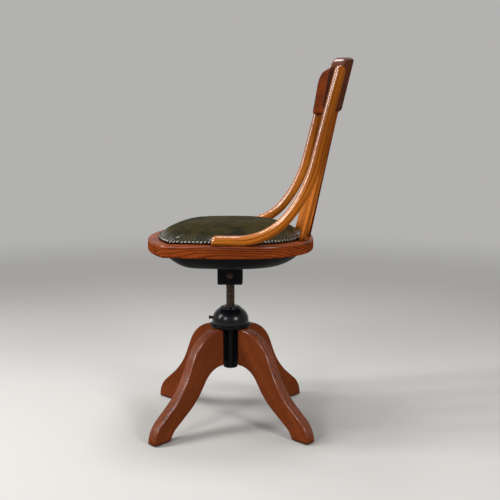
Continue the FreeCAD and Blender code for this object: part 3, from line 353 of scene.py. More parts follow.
def make_grime_and_shade():
    """A mask of corners that see little of their surroundings, clouded a little: grime and painted shade."""
    tree, given, out = new_group("grime_and_shade", {"Distance": "Float", "Amount": "Float"}, {"Mask": "Float"})
    # Painted shade with grime: the mask grows where the surface sees little around it, which is where shade
    # falls.
    seen = node(tree, "ShaderNodeAmbientOcclusion", {"Distance": given["Distance"]}, samples=6)
    cloud = times_add(tree, noise(tree, own_place(tree), GRIME_AND_SHADE_CLOUD, 3), 0.8, 0.6)
    mask = times(tree, inverse(tree, seen.outputs["AO"]), cloud)
    feed(tree, out, {"Mask": times(tree, mask, given["Amount"], clamp=True)})
    return tree


edge_wear = make_edge_wear()
grime_and_shade = make_grime_and_shade()
print("groups", [group.name for group in bpy.data.node_groups])

# %% [markdown]
# ## Oak finishes
# The legs, seat frame and crest are stained a red brown under old varnish. The bent stays and
# the slats are a golden oak that has browned towards the crest. One function makes all of
# them, and only the colours, the figure and the gloss differ. The polish lies on the faces
# that look up, or up and forward. The legs are darker over their last few millimetres at the
# floor, and a greyish painted sheen lies on the back and the left of the crest. Dirt and
# painted shade darken the corners.

# %% Oak finishes
UPWARD = (0, 0, 1)
UP_AND_FORWARD = (-0.7, 0, 0.7)
BACK_AND_LEFT = (0.7, -0.7, 0)
VARNISH_IOR = 1.75
POLISHED_FROM, POLISHED_TO = 0.1, 0.45
SHEEN_FROM, SHEEN_TO = -0.3, 0.4
# Near black: dirt and painted shade in the wood's corners.
WOOD_DIRT_AND_SHADE = (0.020, 0.008, 0.005, 1)
LEG_LIGHT = (0.215, 0.050, 0.014, 1)
LEG_DARK = (0.098, 0.021, 0.007, 1)
# The near black that the legs turn to over their last few millimetres above the floor.
SOLE_DARK = (0.012, 0.008, 0.006, 1)
FRAME_LIGHT = (0.280, 0.055, 0.010, 1)
FRAME_DARK = (0.062, 0.012, 0.004, 1)
CREST_LIGHT = (0.200, 0.034, 0.005, 1)
CREST_DARK = (0.040, 0.009, 0.003, 1)
GOLD_LIGHT = (0.540, 0.175, 0.020, 1)
GOLD_DARK = (0.220, 0.050, 0.005, 1)
SLAT_LIGHT = (0.540, 0.160, 0.022, 1)
SLAT_DARK = (0.070, 0.010, 0.002, 1)
BROWNED = (0.110, 0.025, 0.003, 1)
# The greyish tint of the painted sheen on the crest's back and left.
SHEEN_TINT = (0.068, 0.030, 0.021, 1)


def varnished_oak(name, light, dark, rings, coat, contrast, wander, polished=UPWARD, fade=None, painted_sheen=None):
    """Old varnish over oak, polished on the faces that look one way.

    The fade is (from height, to height, colour, amount), and the painted sheen argument is (which way,
    colour, amount), which tints the faces that look that way as a reflection would.
    """
    made, tree, shader = new_finish(name)
    figure = use_group(tree, oak_figure, Grain=marked(tree, "grain"), Light_Wood=light, Dark_Wood=dark,
                       Ring_Count=rings, Contrast=contrast, Wander=wander)
    # Dirt and painted shade darken the corners, through the occlusion mask.
    dirt_and_shade = use_group(tree, grime_and_shade, Distance=0.010, Amount=0.75)["Mask"]
    worn = use_group(tree, edge_wear, Radius=0.0025, Patch_Size=60.0, Amount=0.35)["Mask"]
    colour = mixed(tree, dirt_and_shade, figure["Color"], WOOD_DIRT_AND_SHADE)
    colour = mixed(tree, worn, colour, light)
    # Darker over a band of height: at the floor on the legs, towards the crest on the stays and slats.
    if fade:
        first, last, tint, amount = fade
        colour = tinted(tree, colour, tint, ramp(tree, own_height(tree), first, last), amount)
    # A painted sheen: the faces that look one way are tinted greyish, as a reflection would tint them.
    if painted_sheen:
        way, tint, amount = painted_sheen
        colour = tinted(tree, colour, tint, ramp(tree, facing(tree, way), SHEEN_FROM, SHEEN_TO), amount)
    gloss = ramp(tree, facing(tree, polished), POLISHED_FROM, POLISHED_TO)
    feed(tree, shader, {
        "Base Color": colour,
        "Roughness": times_add(tree, dirt_and_shade, 0.25, figure["Roughness"]),
        "Specular IOR Level": 0.0,
        "Coat Weight": times(tree, gloss, coat),
        "Coat IOR": VARNISH_IOR,
        "Coat Roughness": 0.2 if polished is UPWARD else 0.12,
        "Normal": bumped(tree, figure["Height"], 0.18 * MM),
    })
    return made


leg_oak = varnished_oak("leg_oak", LEG_LIGHT, LEG_DARK, 170, 0.5, 1.1, 6.0,
                        fade=(9 * MM, 2 * MM, SOLE_DARK, 0.85))
frame_oak = varnished_oak("frame_oak", FRAME_LIGHT, FRAME_DARK, 130, 0.45, 1.35, 8.0)
crest_oak = varnished_oak("crest_oak", CREST_LIGHT, CREST_DARK, 170, 0.6, 1.5, 5.0,
                          painted_sheen=(BACK_AND_LEFT, SHEEN_TINT, 0.65))
golden_oak = varnished_oak("golden_oak", GOLD_LIGHT, GOLD_DARK, 190, 1.0, 1.8, 2.2, UP_AND_FORWARD,
                           fade=(520 * MM, 780 * MM, BROWNED, 0.65))
slat_oak = varnished_oak("slat_oak", SLAT_LIGHT, SLAT_DARK, 170, 0.3, 2.2, 1.5, UP_AND_FORWARD,
                         fade=(520 * MM, 720 * MM, BROWNED, 0.55))
print("oak finishes", [made.name for made in (leg_oak, frame_oak, crest_oak, golden_oak, slat_oak)])

# %% [markdown]
# ## Iron and steel finishes
# The hub, dome and pan are cast or pressed iron under black japan, a baked varnish. It is
# glossy on the dome and dull under the seat, and it is rubbed to brown iron at its edges.
# Its corners are darkened with dirt and painted shade. The spindle is bare steel with dark
# old grease and painted shade in its corners, and some rust.

# %% Iron finishes
JAPAN_DEEP = (0.002, 0.002, 0.003, 1)
JAPAN_CLOUDED = (0.004, 0.004, 0.006, 1)
# Dirt and painted shade in the iron's corners.
IRON_DIRT_AND_SHADE = (0.014, 0.011, 0.008, 1)
RUBBED_IRON = (0.150, 0.085, 0.035, 1)
RUST = (0.110, 0.036, 0.012, 1)
# Grease and painted shade in the metal's corners.
GREASE_AND_SHADE = (0.015, 0.010, 0.007, 1)


def japanned_iron(name, rough, wear, coat, mirror):
    """Black baked varnish over iron, rubbed through at its edges."""
    made, tree, shader = new_finish(name)
    place = own_place(tree)
    worn = use_group(tree, edge_wear, Radius=0.0018, Patch_Size=140.0, Amount=wear)["Mask"]
    # Dirt and painted shade darken the corners, through the occlusion mask.
    dirt_and_shade = use_group(tree, grime_and_shade, Distance=0.008, Amount=0.5)["Mask"]
    cloud = noise(tree, place, 38.0, 4, 0.6)
    black = mixed(tree, dirt_and_shade, mixed(tree, cloud, JAPAN_DEEP, JAPAN_CLOUDED), IRON_DIRT_AND_SHADE)
    feed(tree, shader, {
        "Base Color": mixed(tree, worn, black, RUBBED_IRON),
        "Roughness": times_add(tree, cloud, 0.14, rough),
        "Metallic": times(tree, worn, 0.7),
        "Specular IOR Level": mirror,
        "Coat Weight": coat,
        "Coat Roughness": 0.17,
        "Normal": bumped(tree, noise(tree, place, 260.0, 3), 0.08 * MM),
    })
    return made


def plain_metal(name, bright, dark, rough, rust, metallic=1.0):
    """Bare metal with spots of rust, and grease with painted shade in its corners."""
    made, tree, shader = new_finish(name)
    place = own_place(tree)
    cloud = noise(tree, place, 90.0, 4, 0.6)
    spots = ramp(tree, noise(tree, place, 210.0, 4, 0.7), 0.62 - rust * 0.3, 0.72 - rust * 0.2)
    rusty = times(tree, spots, min(1.0, rust * 2))
    # Grease and painted shade darken the corners, through the occlusion mask.
    dirt_and_shade = use_group(tree, grime_and_shade, Distance=0.004, Amount=0.9)["Mask"]
    colour = mixed(tree, rusty, mixed(tree, cloud, bright, dark), RUST)
    feed(tree, shader, {
        "Base Color": mixed(tree, dirt_and_shade, colour, GREASE_AND_SHADE),
        "Roughness": times_add(tree, cloud, 0.16, rough),
        "Metallic": maths(tree, "SUBTRACT", metallic, maths(tree, "MAXIMUM", rusty, dirt_and_shade), clamp=True),
        "Normal": bumped(tree, maths(tree, "ADD", cloud, rusty), 0.15 * MM),
    })
    return made


gloss_japan = japanned_iron("gloss_japan", 0.22, 0.05, 0.25, 0.12)
hub_japan = japanned_iron("hub_japan", 0.30, 0.05, 0.04, 0.06)
dull_japan = japanned_iron("dull_japan", 0.50, 0.9, 0.0, 0.08)
screw_steel = plain_metal("screw_steel", (0.050, 0.040, 0.029, 1), (0.014, 0.011, 0.008, 1), 0.42, 0.45)
rusty_pin = plain_metal("rusty_pin", (0.040, 0.012, 0.005, 1), (0.012, 0.004, 0.002, 1), 0.7, 0.35, 0.2)
fixing_steel = plain_metal("fixing_steel", (0.42, 0.40, 0.36, 1), (0.20, 0.18, 0.16, 1), 0.34, 0.15)
nail_metal = plain_metal("nail_metal", (0.19, 0.175, 0.15, 1), (0.035, 0.03, 0.025, 1), 0.18, 0.05)
print("metals ready")

# %% [markdown]
# ## Mesh helpers
# Most pieces are a row of rings joined by quads, called a loft. The corners of a ring are
# rounded, so edges catch the light as planed and sanded wood does. Each wooden piece's grain
# starts elsewhere, so that no two show the same figure.

# %% Piece and loft
def points_of(mesh):
    """The points of a mesh as rows of X, Y and Z."""
    flat = np.empty(len(mesh.vertices) * 3)
    mesh.vertices.foreach_get("co", flat)
    return flat.reshape(-1, 3)


def mark_points(mesh, name, values):
    """Let each point carry three numbers that a finish reads by their name."""
    layer = mesh.attributes.new(name, "FLOAT_VECTOR", "POINT")
    layer.data.foreach_set("vector", np.asarray(values, np.float32).ravel())


def make_piece(name, points, faces, finish, body, stands_for=(), grain=None):
    """A smooth mesh that rides on a body, takes a finish and hides the parts it stands for."""
    mesh = bpy.data.meshes.new(name)
    mesh.from_pydata(np.asarray(points, float).reshape(-1, 3).tolist(), [], faces)
    mesh.validate()
    mesh.shade_smooth()
    if grain is not None:
        mark_points(mesh, "grain", grain)
    mesh.materials.append(finish)
    made = bpy.data.objects.new(name, mesh)
    bpy.context.scene.collection.objects.link(made)
    even = made.modifiers.new("even_normals", "WEIGHTED_NORMAL")
    even.keep_sharp = True
    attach(made, body)
    if stands_for:
        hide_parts(*stands_for)
    print(name, len(mesh.vertices), "points,", [round(size, 3) for size in made.dimensions])
    return made


def quads(rows, around, loop=False):
    """Quads between rings; in a loop the last ring also joins the first."""
    faces = []
    for row in range(rows if loop else rows - 1):
        here = row * around
        there = (row + 1) % rows * around
        for step in range(around):
            following = (step + 1) % around
            faces.append((here + step, here + following, there + following, there + step))
    return faces


def make_loft(name, rings, finish, body, stands_for=(), grain=None, loop=False):
    """A piece made of rings, with both ends capped; a loop has no ends, and its rings run the other way."""
    rows, around = len(rings), len(rings[0])
    faces = quads(rows, around, loop)
    if loop:
        faces = [face[::-1] for face in faces]
    else:
        faces.append(tuple(range(around - 1, -1, -1)))
        faces.append(tuple((rows - 1) * around + step for step in range(around)))
    return make_piece(name, rings, faces, finish, body, stands_for, grain)


# %% Sections and lines
END_STEPS = 3


def spin(x, y, angle):
    """A pair of coordinates turned by an angle."""
    return x * cos(angle) - y * sin(angle), x * sin(angle) + y * cos(angle)


def rounded_box(half_wide, half_high, radius, steps=4):
    """Points round a rectangle with rounded corners, anticlockwise."""
    points = []
    for quarter, (x, y) in enumerate(((1, 1), (-1, 1), (-1, -1), (1, -1))):
        for step in range(steps + 1):
            angle = pi / 2 * (quarter + step / steps)
            points.append((x * (half_wide - radius) + cos(angle) * radius,
                           y * (half_high - radius) + sin(angle) * radius))
    return np.array(points)


def run_along(line):
    """How far each point of a line lies from its start, measured along it."""
    return np.concatenate([[0], np.cumsum(norm(np.diff(line, axis=0), axis=1))])


def trace(start, moves, steps=12):
    """Follow lines and tangent arcs from a start, heading along the first axis.

    A move is (length, 0) for a line and (radius, degrees) for an arc.
    """
    place = np.array(start, float)
    heading = 0.0
    runs = []
    share = np.linspace(0, 1, steps + 1)[:, None]
    for size, turn in moves:
        ahead = np.array([cos(heading), sin(heading)])
        if turn == 0:
            run = place + share * size * ahead
        else:
            angle = radians(turn)
            centre = place + np.array([-ahead[1], ahead[0]]) * copysign(size, turn)
            spoke = place - centre
            swing = share * angle
            side = np.array([-spoke[1], spoke[0]])
            run = centre + np.cos(swing) * spoke + np.sin(swing) * side
            heading += angle
        runs.append(run[:-1] if len(runs) < len(moves) - 1 else run)
        place = run[-1]
    return np.concatenate(runs)


def soften_end(rings, inward, radius):
    """Draw the last ring in over a small radius, so that the end has no hard edge."""
    last = rings[-1]
    middle = last.mean(0)
    reach = norm(last - middle, axis=1).mean()
    made = rings[:-1]
    for step in range(END_STEPS + 1):
        angle = pi / 2 * step / END_STEPS
        shrink = 1 - radius * (1 - cos(angle)) / reach
        made.append(middle + (last - middle) * shrink + inward * radius * (1 - sin(angle)))
    return made


print("mesh helpers ready")

# %% [markdown]
# ## Oak legs
# Each leg is band-sawn from a thick plank: a knee, a long hollow shin and a toe outside, an
# arch inside. The outer and the inner line are lines and tangent arcs, in millimetres and
# degrees. Rings run from the hub's lug to the sole, and the grain stays straight, as in a
# plank.

# %% Legs
LEG_FACE = 40 * MM
LEG_TOP = 243 * MM
LEG_UNDERSIDE = 149 * MM
LEG_THICK = 28 * MM
LEG_ARRIS = 4 * MM
SOLE = 3 * MM
SOLE_ROUND = 1.5 * MM
LUG_ROUND = 1 * MM
BASE_TURN = 3
LEG_GRAIN = radians(-52)
OUTER_LINE = [(6, 0), (100, -66), (31, 0), (205, 27), (41, 0), (66, None)]
INNER_LINE = [(5, 0), (65, -55), (26, 0), (170, 19), (54, 0), (50, None)]
LEGS = ("leg_rear_right", "leg_front_right", "leg_front_left", "leg_rear_left")


def leg_line(height, moves):
    """The leg's outer or inner line; its last arc turns down as far as the sole."""
    start = (LEG_FACE, height)
    known = [(size * MM, turn) for size, turn in moves[:-1]]
    before = trace(start, known)
    heading = radians(sum(turn for _, turn in moves[:-1]))
    radius = moves[-1][0] * MM
    slope = cos(heading) - (before[-1][1] - SOLE) / radius
    turn = degrees(heading + acos(slope))
    return trace(start, known + [(radius, -turn)])


def make_leg(node_name, place):
    """Rings across the plank from lug to sole, turned to the leg's place round the hub in degrees."""
    rings = []
    for high, low in zip(leg_line(LEG_TOP, OUTER_LINE), leg_line(LEG_UNDERSIDE, INNER_LINE)):
        span = high - low
        tall = norm(span)
        section = rounded_box(tall / 2, LEG_THICK / 2, LEG_ARRIS)
        ring = (high + low) / 2 + section[:, :1] * (span / tall)
        rings.append(np.column_stack([ring[:, 0], section[:, 1], ring[:, 1]]))
    rings = soften_end(rings, np.array([0, 0, 1.0]), SOLE_ROUND)
    rings = soften_end(rings[::-1], np.array([1.0, 0, 0]), LUG_ROUND)[::-1]
    x, y, z = np.concatenate(rings).T
    along, square = spin(x, z, -LEG_GRAIN)
    grain = np.column_stack([along + place, square + place, y + place * 0.1])
    x, y = spin(x, y, radians(place))
    placed = np.column_stack([x, y, z]).reshape(len(rings), -1, 3)
    return make_loft(f"oak_{node_name}", placed, leg_oak, "base", [node_name], grain)


for number, name in enumerate(LEGS):
    make_leg(name, 45 + BASE_TURN + 90 * number)

# %% [markdown]
# ## Bent stays
# A stay is one straight bar, steamed soft and bent round a form: flat on the seat, swept up
# and back to the crest. The ring follows the bar's middle line, so the grain bends with it.
# The ends are rounded over.

# %% Stays
STAY_FRONT = -34 * MM
STAY_BOTTOM = 471.5 * MM
STAY_THICK = 24.5 * MM
STAY_WIDE = 24 * MM
STAY_PLACE = 191 * MM
STAY_ROUND = 10 * MM
STAY_END = 10.8 * MM
STAY_SIDE_END = 3 * MM
STAY_ROUND_SHARE = 0.98
STAY_MOVES = [(57.5, 0), (160, 50), (316, 26), (216.5, 0)]
STAY_STEPS = 26
FRONT_SHARES = (0.1, 0.35, 0.7)
TOP_SHARES = (0.9, 0.6, 0.35, 0.15, 0.04)


def drawn_in(distance, radius):
    """How much a rounded end draws a side in, at a distance from the end."""
    short = max(0.0, radius - distance)
    return radius - sqrt(radius * radius - short * short)


def stay_ring(middle, ahead, from_front, from_top):
    """The bar's section, drawn in near its two ends."""
    bottom_cut = drawn_in(from_top, STAY_END)
    top_cut = drawn_in(from_front, STAY_END) + bottom_cut
    side_cut = drawn_in(min(from_front, from_top), STAY_SIDE_END)
    high = STAY_THICK / 2 - top_cut
    low = -STAY_THICK / 2 + bottom_cut
    half = (high - low) / 2
    section = rounded_box(STAY_WIDE / 2 - side_cut, half, min(STAY_ROUND, half * STAY_ROUND_SHARE), 5)
    offset = section[:, 1] + (high + low) / 2
    ring = middle + offset[:, None] * np.array([-ahead[1], ahead[0]])
    return np.column_stack([ring[:, 0], section[:, 0], ring[:, 1]]), offset, section[:, 0]


def make_stay(node_name, side):
    """Rings along the bar's middle line, closer together at its ends."""
    moves = [(size * MM - (STAY_THICK / 2 if turn else 0), turn) for size, turn in STAY_MOVES]
    line = trace((STAY_FRONT, STAY_BOTTOM + STAY_THICK / 2), moves, STAY_STEPS)
    front = [line[0] + (line[1] - line[0]) * share for share in FRONT_SHARES]
    top = [line[-1] + (line[-2] - line[-1]) * share for share in TOP_SHARES]
    line = np.concatenate([line[:1], front, line[1:-1], top, line[-1:]])
    run = run_along(line)
    rings, grain = [], []
    for number, middle in enumerate(line):
        ahead = line[min(number + 1, len(line) - 1)] - line[max(number - 1, 0)]
        ahead = ahead / norm(ahead)
        ring, offset, wide = stay_ring(middle, ahead, run[number], run[-1] - run[number])
        rings.append(ring + np.array([0, side * STAY_PLACE, 0]))
        grain.append(np.column_stack([np.full(len(ring), run[number] + side), wide, offset * 2 + side * 0.3]))
    return make_loft(f"bent_{node_name}", rings, golden_oak, "seat", [node_name], grain)


for name, side in (("stay_left", -1), ("stay_right", 1)):
    make_stay(name, side)

# %% [markdown]
# ## Crest rail
# The crest is sawn from thick stock to a curve in plan, leans back, and is thicker at the
# top. Its section runs from end to end, and the round shoulders come from how high the
# section reaches at each place.

# %% Crest
CREST_HALF = 179 * MM
CREST_LOW = 776 * MM
CREST_HIGH = 900 * MM
CREST_ARCH = 1145 * MM
CREST_CORNER = 28 * MM
CREST_CURVE = 500 * MM
CREST_BACK = (269 * MM, 298 * MM)
CREST_THICK = (24 * MM, 32 * MM)
CREST_ROUND = 8 * MM
CREST_END_ROUND = 1.5 * MM
CREST_STEPS = 61


def crest_reach(place):
    """How high the crest reaches at a distance from its middle."""
    inner = CREST_HALF - CREST_CORNER
    drop = sqrt((CREST_ARCH - CREST_CORNER) ** 2 - inner ** 2)
    centre = CREST_HIGH - CREST_ARCH
    meet = inner * CREST_ARCH / (CREST_ARCH - CREST_CORNER)
    if abs(place) < meet:
        return centre + sqrt(CREST_ARCH ** 2 - place ** 2)
    return centre + drop + sqrt(max(0.0, CREST_CORNER ** 2 - (abs(place) - inner) ** 2))


def crest_back(place, height):
    """Where the crest's back is on X, and how thick it is there."""
    share = (height - CREST_LOW) / (CREST_HIGH - CREST_LOW)
    sag = CREST_CURVE - sqrt(CREST_CURVE ** 2 - place ** 2)
    thick = CREST_THICK[0] + share * (CREST_THICK[1] - CREST_THICK[0])
    return CREST_BACK[0] + share * (CREST_BACK[1] - CREST_BACK[0]) - sag, thick


def make_crest():
    """Rings from end to end, closer together at the shoulders."""
    rings, grain = [], []
    for place in -np.cos(np.linspace(0, pi, CREST_STEPS)) * CREST_HALF:
        tall = (crest_reach(place) - CREST_LOW) / 2
        ring = []
        for x, z in rounded_box(CREST_THICK[1] / 2, tall, CREST_ROUND, 5):
            height = CREST_LOW + tall + z
            back, thick = crest_back(place, height)
            ring.append((back - thick / 2 + x * thick / CREST_THICK[1], place, height))
        rings.append(np.array(ring))
        grain.append(np.array([(place, z, x) for x, _, z in ring]))
    rings = soften_end(rings, np.array([0, -1.0, 0]), CREST_END_ROUND)
    rings = soften_end(rings[::-1], np.array([0, 1.0, 0]), CREST_END_ROUND)[::-1]
    grain = [grain[0]] * END_STEPS + grain + [grain[-1]] * END_STEPS
    return make_loft("curved_crest_rail", rings, crest_oak, "seat", ["crest_rail"], grain)


make_crest()

# %% [markdown]
# ## Slats
# The slats are straight strips with three shallow reeds along the front, cut with a moulding
# plane. They stand in the seat frame and reach up into the crest, and the outer two turn
# to face the sitter's back.

# %% Slats
SLAT_WIDE = 36 * MM
SLAT_THICK = 11 * MM
SLAT_DIP = 1.6 * MM
SLAT_EASE = 2 * MM
SLAT_TENON = 16 * MM
SLAT_FOOT = 479 * MM
SLAT_PLACE = 95 * MM
SLAT_TURN = radians(15)
SLAT_STEPS = 9
REED_STEPS = 9
REED_SHARE = 0.94
SLATS = (("slat_left", -1, 175 * MM), ("slat_centre", 0, 194.5 * MM), ("slat_right", 1, 175 * MM))


def slat_section():
    """The reeded section: three shallow swells in front, a flat back with eased corners."""
    half, deep = SLAT_WIDE / 2, SLAT_THICK / 2
    reed = SLAT_WIDE / 6
    points = []
    for middle in (-2 * reed, 0, 2 * reed):
        for share in np.linspace(-REED_SHARE, REED_SHARE, REED_STEPS):
            points.append((-deep + SLAT_DIP * share * share, middle + share * reed))
    for side, angles in ((1, (0, 45, 90)), (-1, (90, 45, 0))):
        for angle in angles:
            out, back = spin(SLAT_EASE, 0, radians(angle))
            points.append((deep - SLAT_EASE + back, side * (half - SLAT_EASE + out)))
    return np.array(points)


def make_slat(node_name, side, foot_back):
    """The section, turned to the sitter and run from tenon to tenon along the slat's lean."""
    place = side * SLAT_PLACE
    foot = np.array([foot_back, place, SLAT_FOOT])
    back, thick = crest_back(place, CREST_LOW)
    head = np.array([back - thick / 2, place, CREST_LOW])
    tall = norm(head - foot)
    rise = (head - foot) / tall
    lean = atan2(rise[0], rise[2])
    deep, wide = slat_section().T
    x, y = spin(deep, wide, side * SLAT_TURN)
    tilted = np.column_stack([x * cos(lean), y, -x * sin(lean)]) + foot - rise * SLAT_TENON
    rings, grain = [], []
    for run in np.linspace(0, tall + 2 * SLAT_TENON, SLAT_STEPS):
        rings.append(tilted + rise * run)
        grain.append(np.column_stack([np.full(len(deep), run + side * 2), wide + side * 0.2, deep]))
    return make_loft(f"reeded_{node_name}", rings, slat_oak, "seat", [node_name], grain)


for name, side, foot_back in SLATS:
    make_slat(name, side, foot_back)

# %% [markdown]
# ## Seat outline
# The seat is round at the back, its sides taper in to the front, and the front is bowed. The
# frame, pad, nails and pan all follow this outline, drawn in by some distance. It is made
# of a back arc, two lines, two corner arcs and a front arc, all tangent. The photograph
# shows the back's corners fuller than a circle, so the arc is pushed out there.

# %% Seat outline
SEAT_BACK = 206 * MM
SEAT_FRONT = 202 * MM
SEAT_BOW = 364 * MM
SEAT_SLOPE = radians(7)
BACK_POWER = 2.55
BACK_STEPS, SIDE_STEPS, CORNER_STEPS, FRONT_STEPS = 84, 16, 12, 30


def fuller(points):
    """Push a round back out into fuller corners; its hindmost point and its sides stay."""
    unit = np.abs(points) / norm(points, axis=1)[:, None]
    reach = (unit[:, 0] ** BACK_POWER + unit[:, 1] ** BACK_POWER) ** (-1 / BACK_POWER)
    return points * np.where(points[:, 0] > 0, reach, 1.0)[:, None]


def sweep(middle, radius, first, last, count):
    """An arc about a middle, without its last point."""
    angles = np.linspace(first, last, count, endpoint=False)
    return middle + radius * np.column_stack([np.cos(angles), np.sin(angles)])


def seat_outline(inset, corner):
    """Points round the seat, drawn in by an inset, anticlockwise from the left side."""
    back = SEAT_BACK - inset
    bow = SEAT_BOW - inset
    bow_centre = np.array([SEAT_BOW - SEAT_FRONT, 0])
    out = np.array([-sin(SEAT_SLOPE), cos(SEAT_SLOPE)])
    ahead = np.array([-cos(SEAT_SLOPE), -sin(SEAT_SLOPE)])
    start = out * (back - corner)
    gap = start - bow_centre
    run = -gap @ ahead + sqrt((gap @ ahead) ** 2 - gap @ gap + (bow - corner) ** 2)
    centre = start + ahead * run
    toward = centre - bow_centre
    turn = pi / 2 + SEAT_SLOPE
    bow_angle = atan2(toward[1], toward[0])
    shares = np.linspace(0, 1, SIDE_STEPS, endpoint=False)[:, None]
    mirror = np.array([1, -1])
    back_arc = fuller(sweep(0, back, -turn, turn, BACK_STEPS))
    side = out * back + shares * run * ahead
    bend = sweep(centre, corner, turn, bow_angle, CORNER_STEPS)
    front = sweep(bow_centre, bow, bow_angle, 2 * pi - bow_angle, FRONT_STEPS)
    other_bend = sweep(centre * mirror, corner, -bow_angle, -turn, CORNER_STEPS)
    other_side = ((out * back + run * ahead) - shares * run * ahead) * mirror
    return np.concatenate([back_arc, side, bend, front, other_bend, other_side])


def outline_rings(stages, shift=0.0):
    """Closed rings from (inset, height, corner radius) stages."""
    rings = []
    for inset, height, corner in stages:
        flat = seat_outline(inset, corner)
        rings.append(np.column_stack([flat[:, 0] + shift, flat[:, 1], np.full(len(flat), height)]))
    return rings


print("outline points", len(seat_outline(0, 14 * MM)))

# %% [markdown]
# ## Seat frame
# The frame is built up from oak boards with a moulded outer edge, an open middle and a
# rebate for the leather. Here the section goes round the outline, and the grain runs from
# back to front.

# %% Seat frame
FRAME_LOW = 444 * MM
FRAME_TOP = 473.5 * MM
FRAME_EDGE = 6 * MM
FRAME_EDGE_STEPS = 7
FRAME_CORNER = 14 * MM
OPENING_INSET = 50 * MM
OPENING_CORNER = 24 * MM
REBATE = 4 * MM
REBATE_EASE = 0.6 * MM
REBATE_CORNER = 10 * MM
PAD_INSET = 27 * MM


def frame_stages():
    """The section as (inset, height, corner), from the top of the opening round to its foot."""
    quarter = [(FRAME_EDGE * (1 - sin(angle)), FRAME_EDGE * (1 - cos(angle)))
               for angle in np.linspace(0, pi / 2, FRAME_EDGE_STEPS)]
    return [(OPENING_INSET, FRAME_TOP - REBATE, OPENING_CORNER),
            (PAD_INSET, FRAME_TOP - REBATE, REBATE_CORNER),
            (PAD_INSET, FRAME_TOP - REBATE_EASE, REBATE_CORNER),
            (PAD_INSET - REBATE_EASE, FRAME_TOP, REBATE_CORNER),
            *((inset, FRAME_TOP - drop, FRAME_CORNER) for inset, drop in quarter),
            *((inset, FRAME_LOW + rise, FRAME_CORNER) for rise, inset in quarter),
            (OPENING_INSET, FRAME_LOW, OPENING_CORNER)]


rings = outline_rings(frame_stages())
grain = np.concatenate(rings)[:, [0, 2, 1]]
make_loft("oak_seat_frame", rings, frame_oak, "seat", ["seat_frame"], grain, loop=True)

# %% [markdown]
# ## Seat pan
# Under the frame hangs a shallow pressed-iron dish with a turned-out flange. It carries the
# bracket. The dish is the same outline drawn in further and further as it goes down.

# %% Pan
PAN_SHIFT = 4 * MM
PAN_WALL = 2.5 * MM
PAN_DEPTH = 37 * MM
PAN_SLOPE = 58 * MM
PAN_FLATNESS = 1.38
PAN_FLOOR_INSET = 90 * MM
PAN_CORNER = 30 * MM
PAN_STEPS = 12
PAN_FLANGE = [(28, -2.5), (27, -2), (27, -0.5), (28, 0)]


def pan_side(inside, last):
    """The sloping side from the dish's floor up to its rim, as (inset, height) pairs."""
    pairs = []
    for angle in np.linspace(0, last, PAN_STEPS):
        out = (PAN_SLOPE - inside) * sin(angle) ** PAN_FLATNESS
        down = (PAN_DEPTH - inside) * max(0.0, cos(angle)) ** PAN_FLATNESS
        pairs.append((PAN_FLOOR_INSET - out, FRAME_LOW - down))
    return pairs


def make_pan():
    """The dish from the middle of its underside out round the flange and back inside."""
    under_flange = acos((PAN_WALL / PAN_DEPTH) ** (1 / PAN_FLATNESS))
    pairs = pan_side(0, under_flange)
    pairs += [(inset * MM, FRAME_LOW + rise * MM) for inset, rise in PAN_FLANGE]
    pairs += pan_side(PAN_WALL, pi / 2)[::-1]
    rings = outline_rings([(inset, height, PAN_CORNER) for inset, height in pairs], PAN_SHIFT)
    return make_loft("pressed_pan", rings, dull_japan, "seat", ["seat_pan"])


make_pan()

# %% [markdown]
# ## Leather pad
# The pad is stuffing under a leather cover nailed in the rebate. It starts as a slightly low
# crown, and cloth simulation blows it up against its pinned edge, which gives the tight
# skin of a stuffed seat. The small folds at the nails are drawn by the leather's finish,
# which darkens them with painted shade.

# %% Leather finish
PAD_FLOOR = FRAME_TOP - 1.6 * MM
PAD_TOP = 515 * MM
FOLD_FROM, FOLD_TO = 3 * MM, 20 * MM
GLOSS_FROM, GLOSS_TO = PAD_FLOOR + 9 * MM, PAD_FLOOR + 24 * MM
GREEN_DARK = (0.005, 0.006, 0.004, 1)
GREEN_WARM = (0.026, 0.021, 0.005, 1)
RUBBED_HIDE = (0.052, 0.034, 0.006, 1)
# Dirt and painted shade in the leather's creases and corners.
HIDE_DIRT_AND_SHADE = (0.006, 0.007, 0.005, 1)
# Painted shade in the folds at the nails.
FOLD_SHADE = (0.006, 0.006, 0.004, 1)


def speckled(tree, place, scale, feature):
    """Cells as in hide, by how far a point lies from their middles or their edges."""
    cells = node(tree, "ShaderNodeTexVoronoi", {"Vector": place, "Scale": scale}, feature=feature)
    return cells.outputs["Distance"]


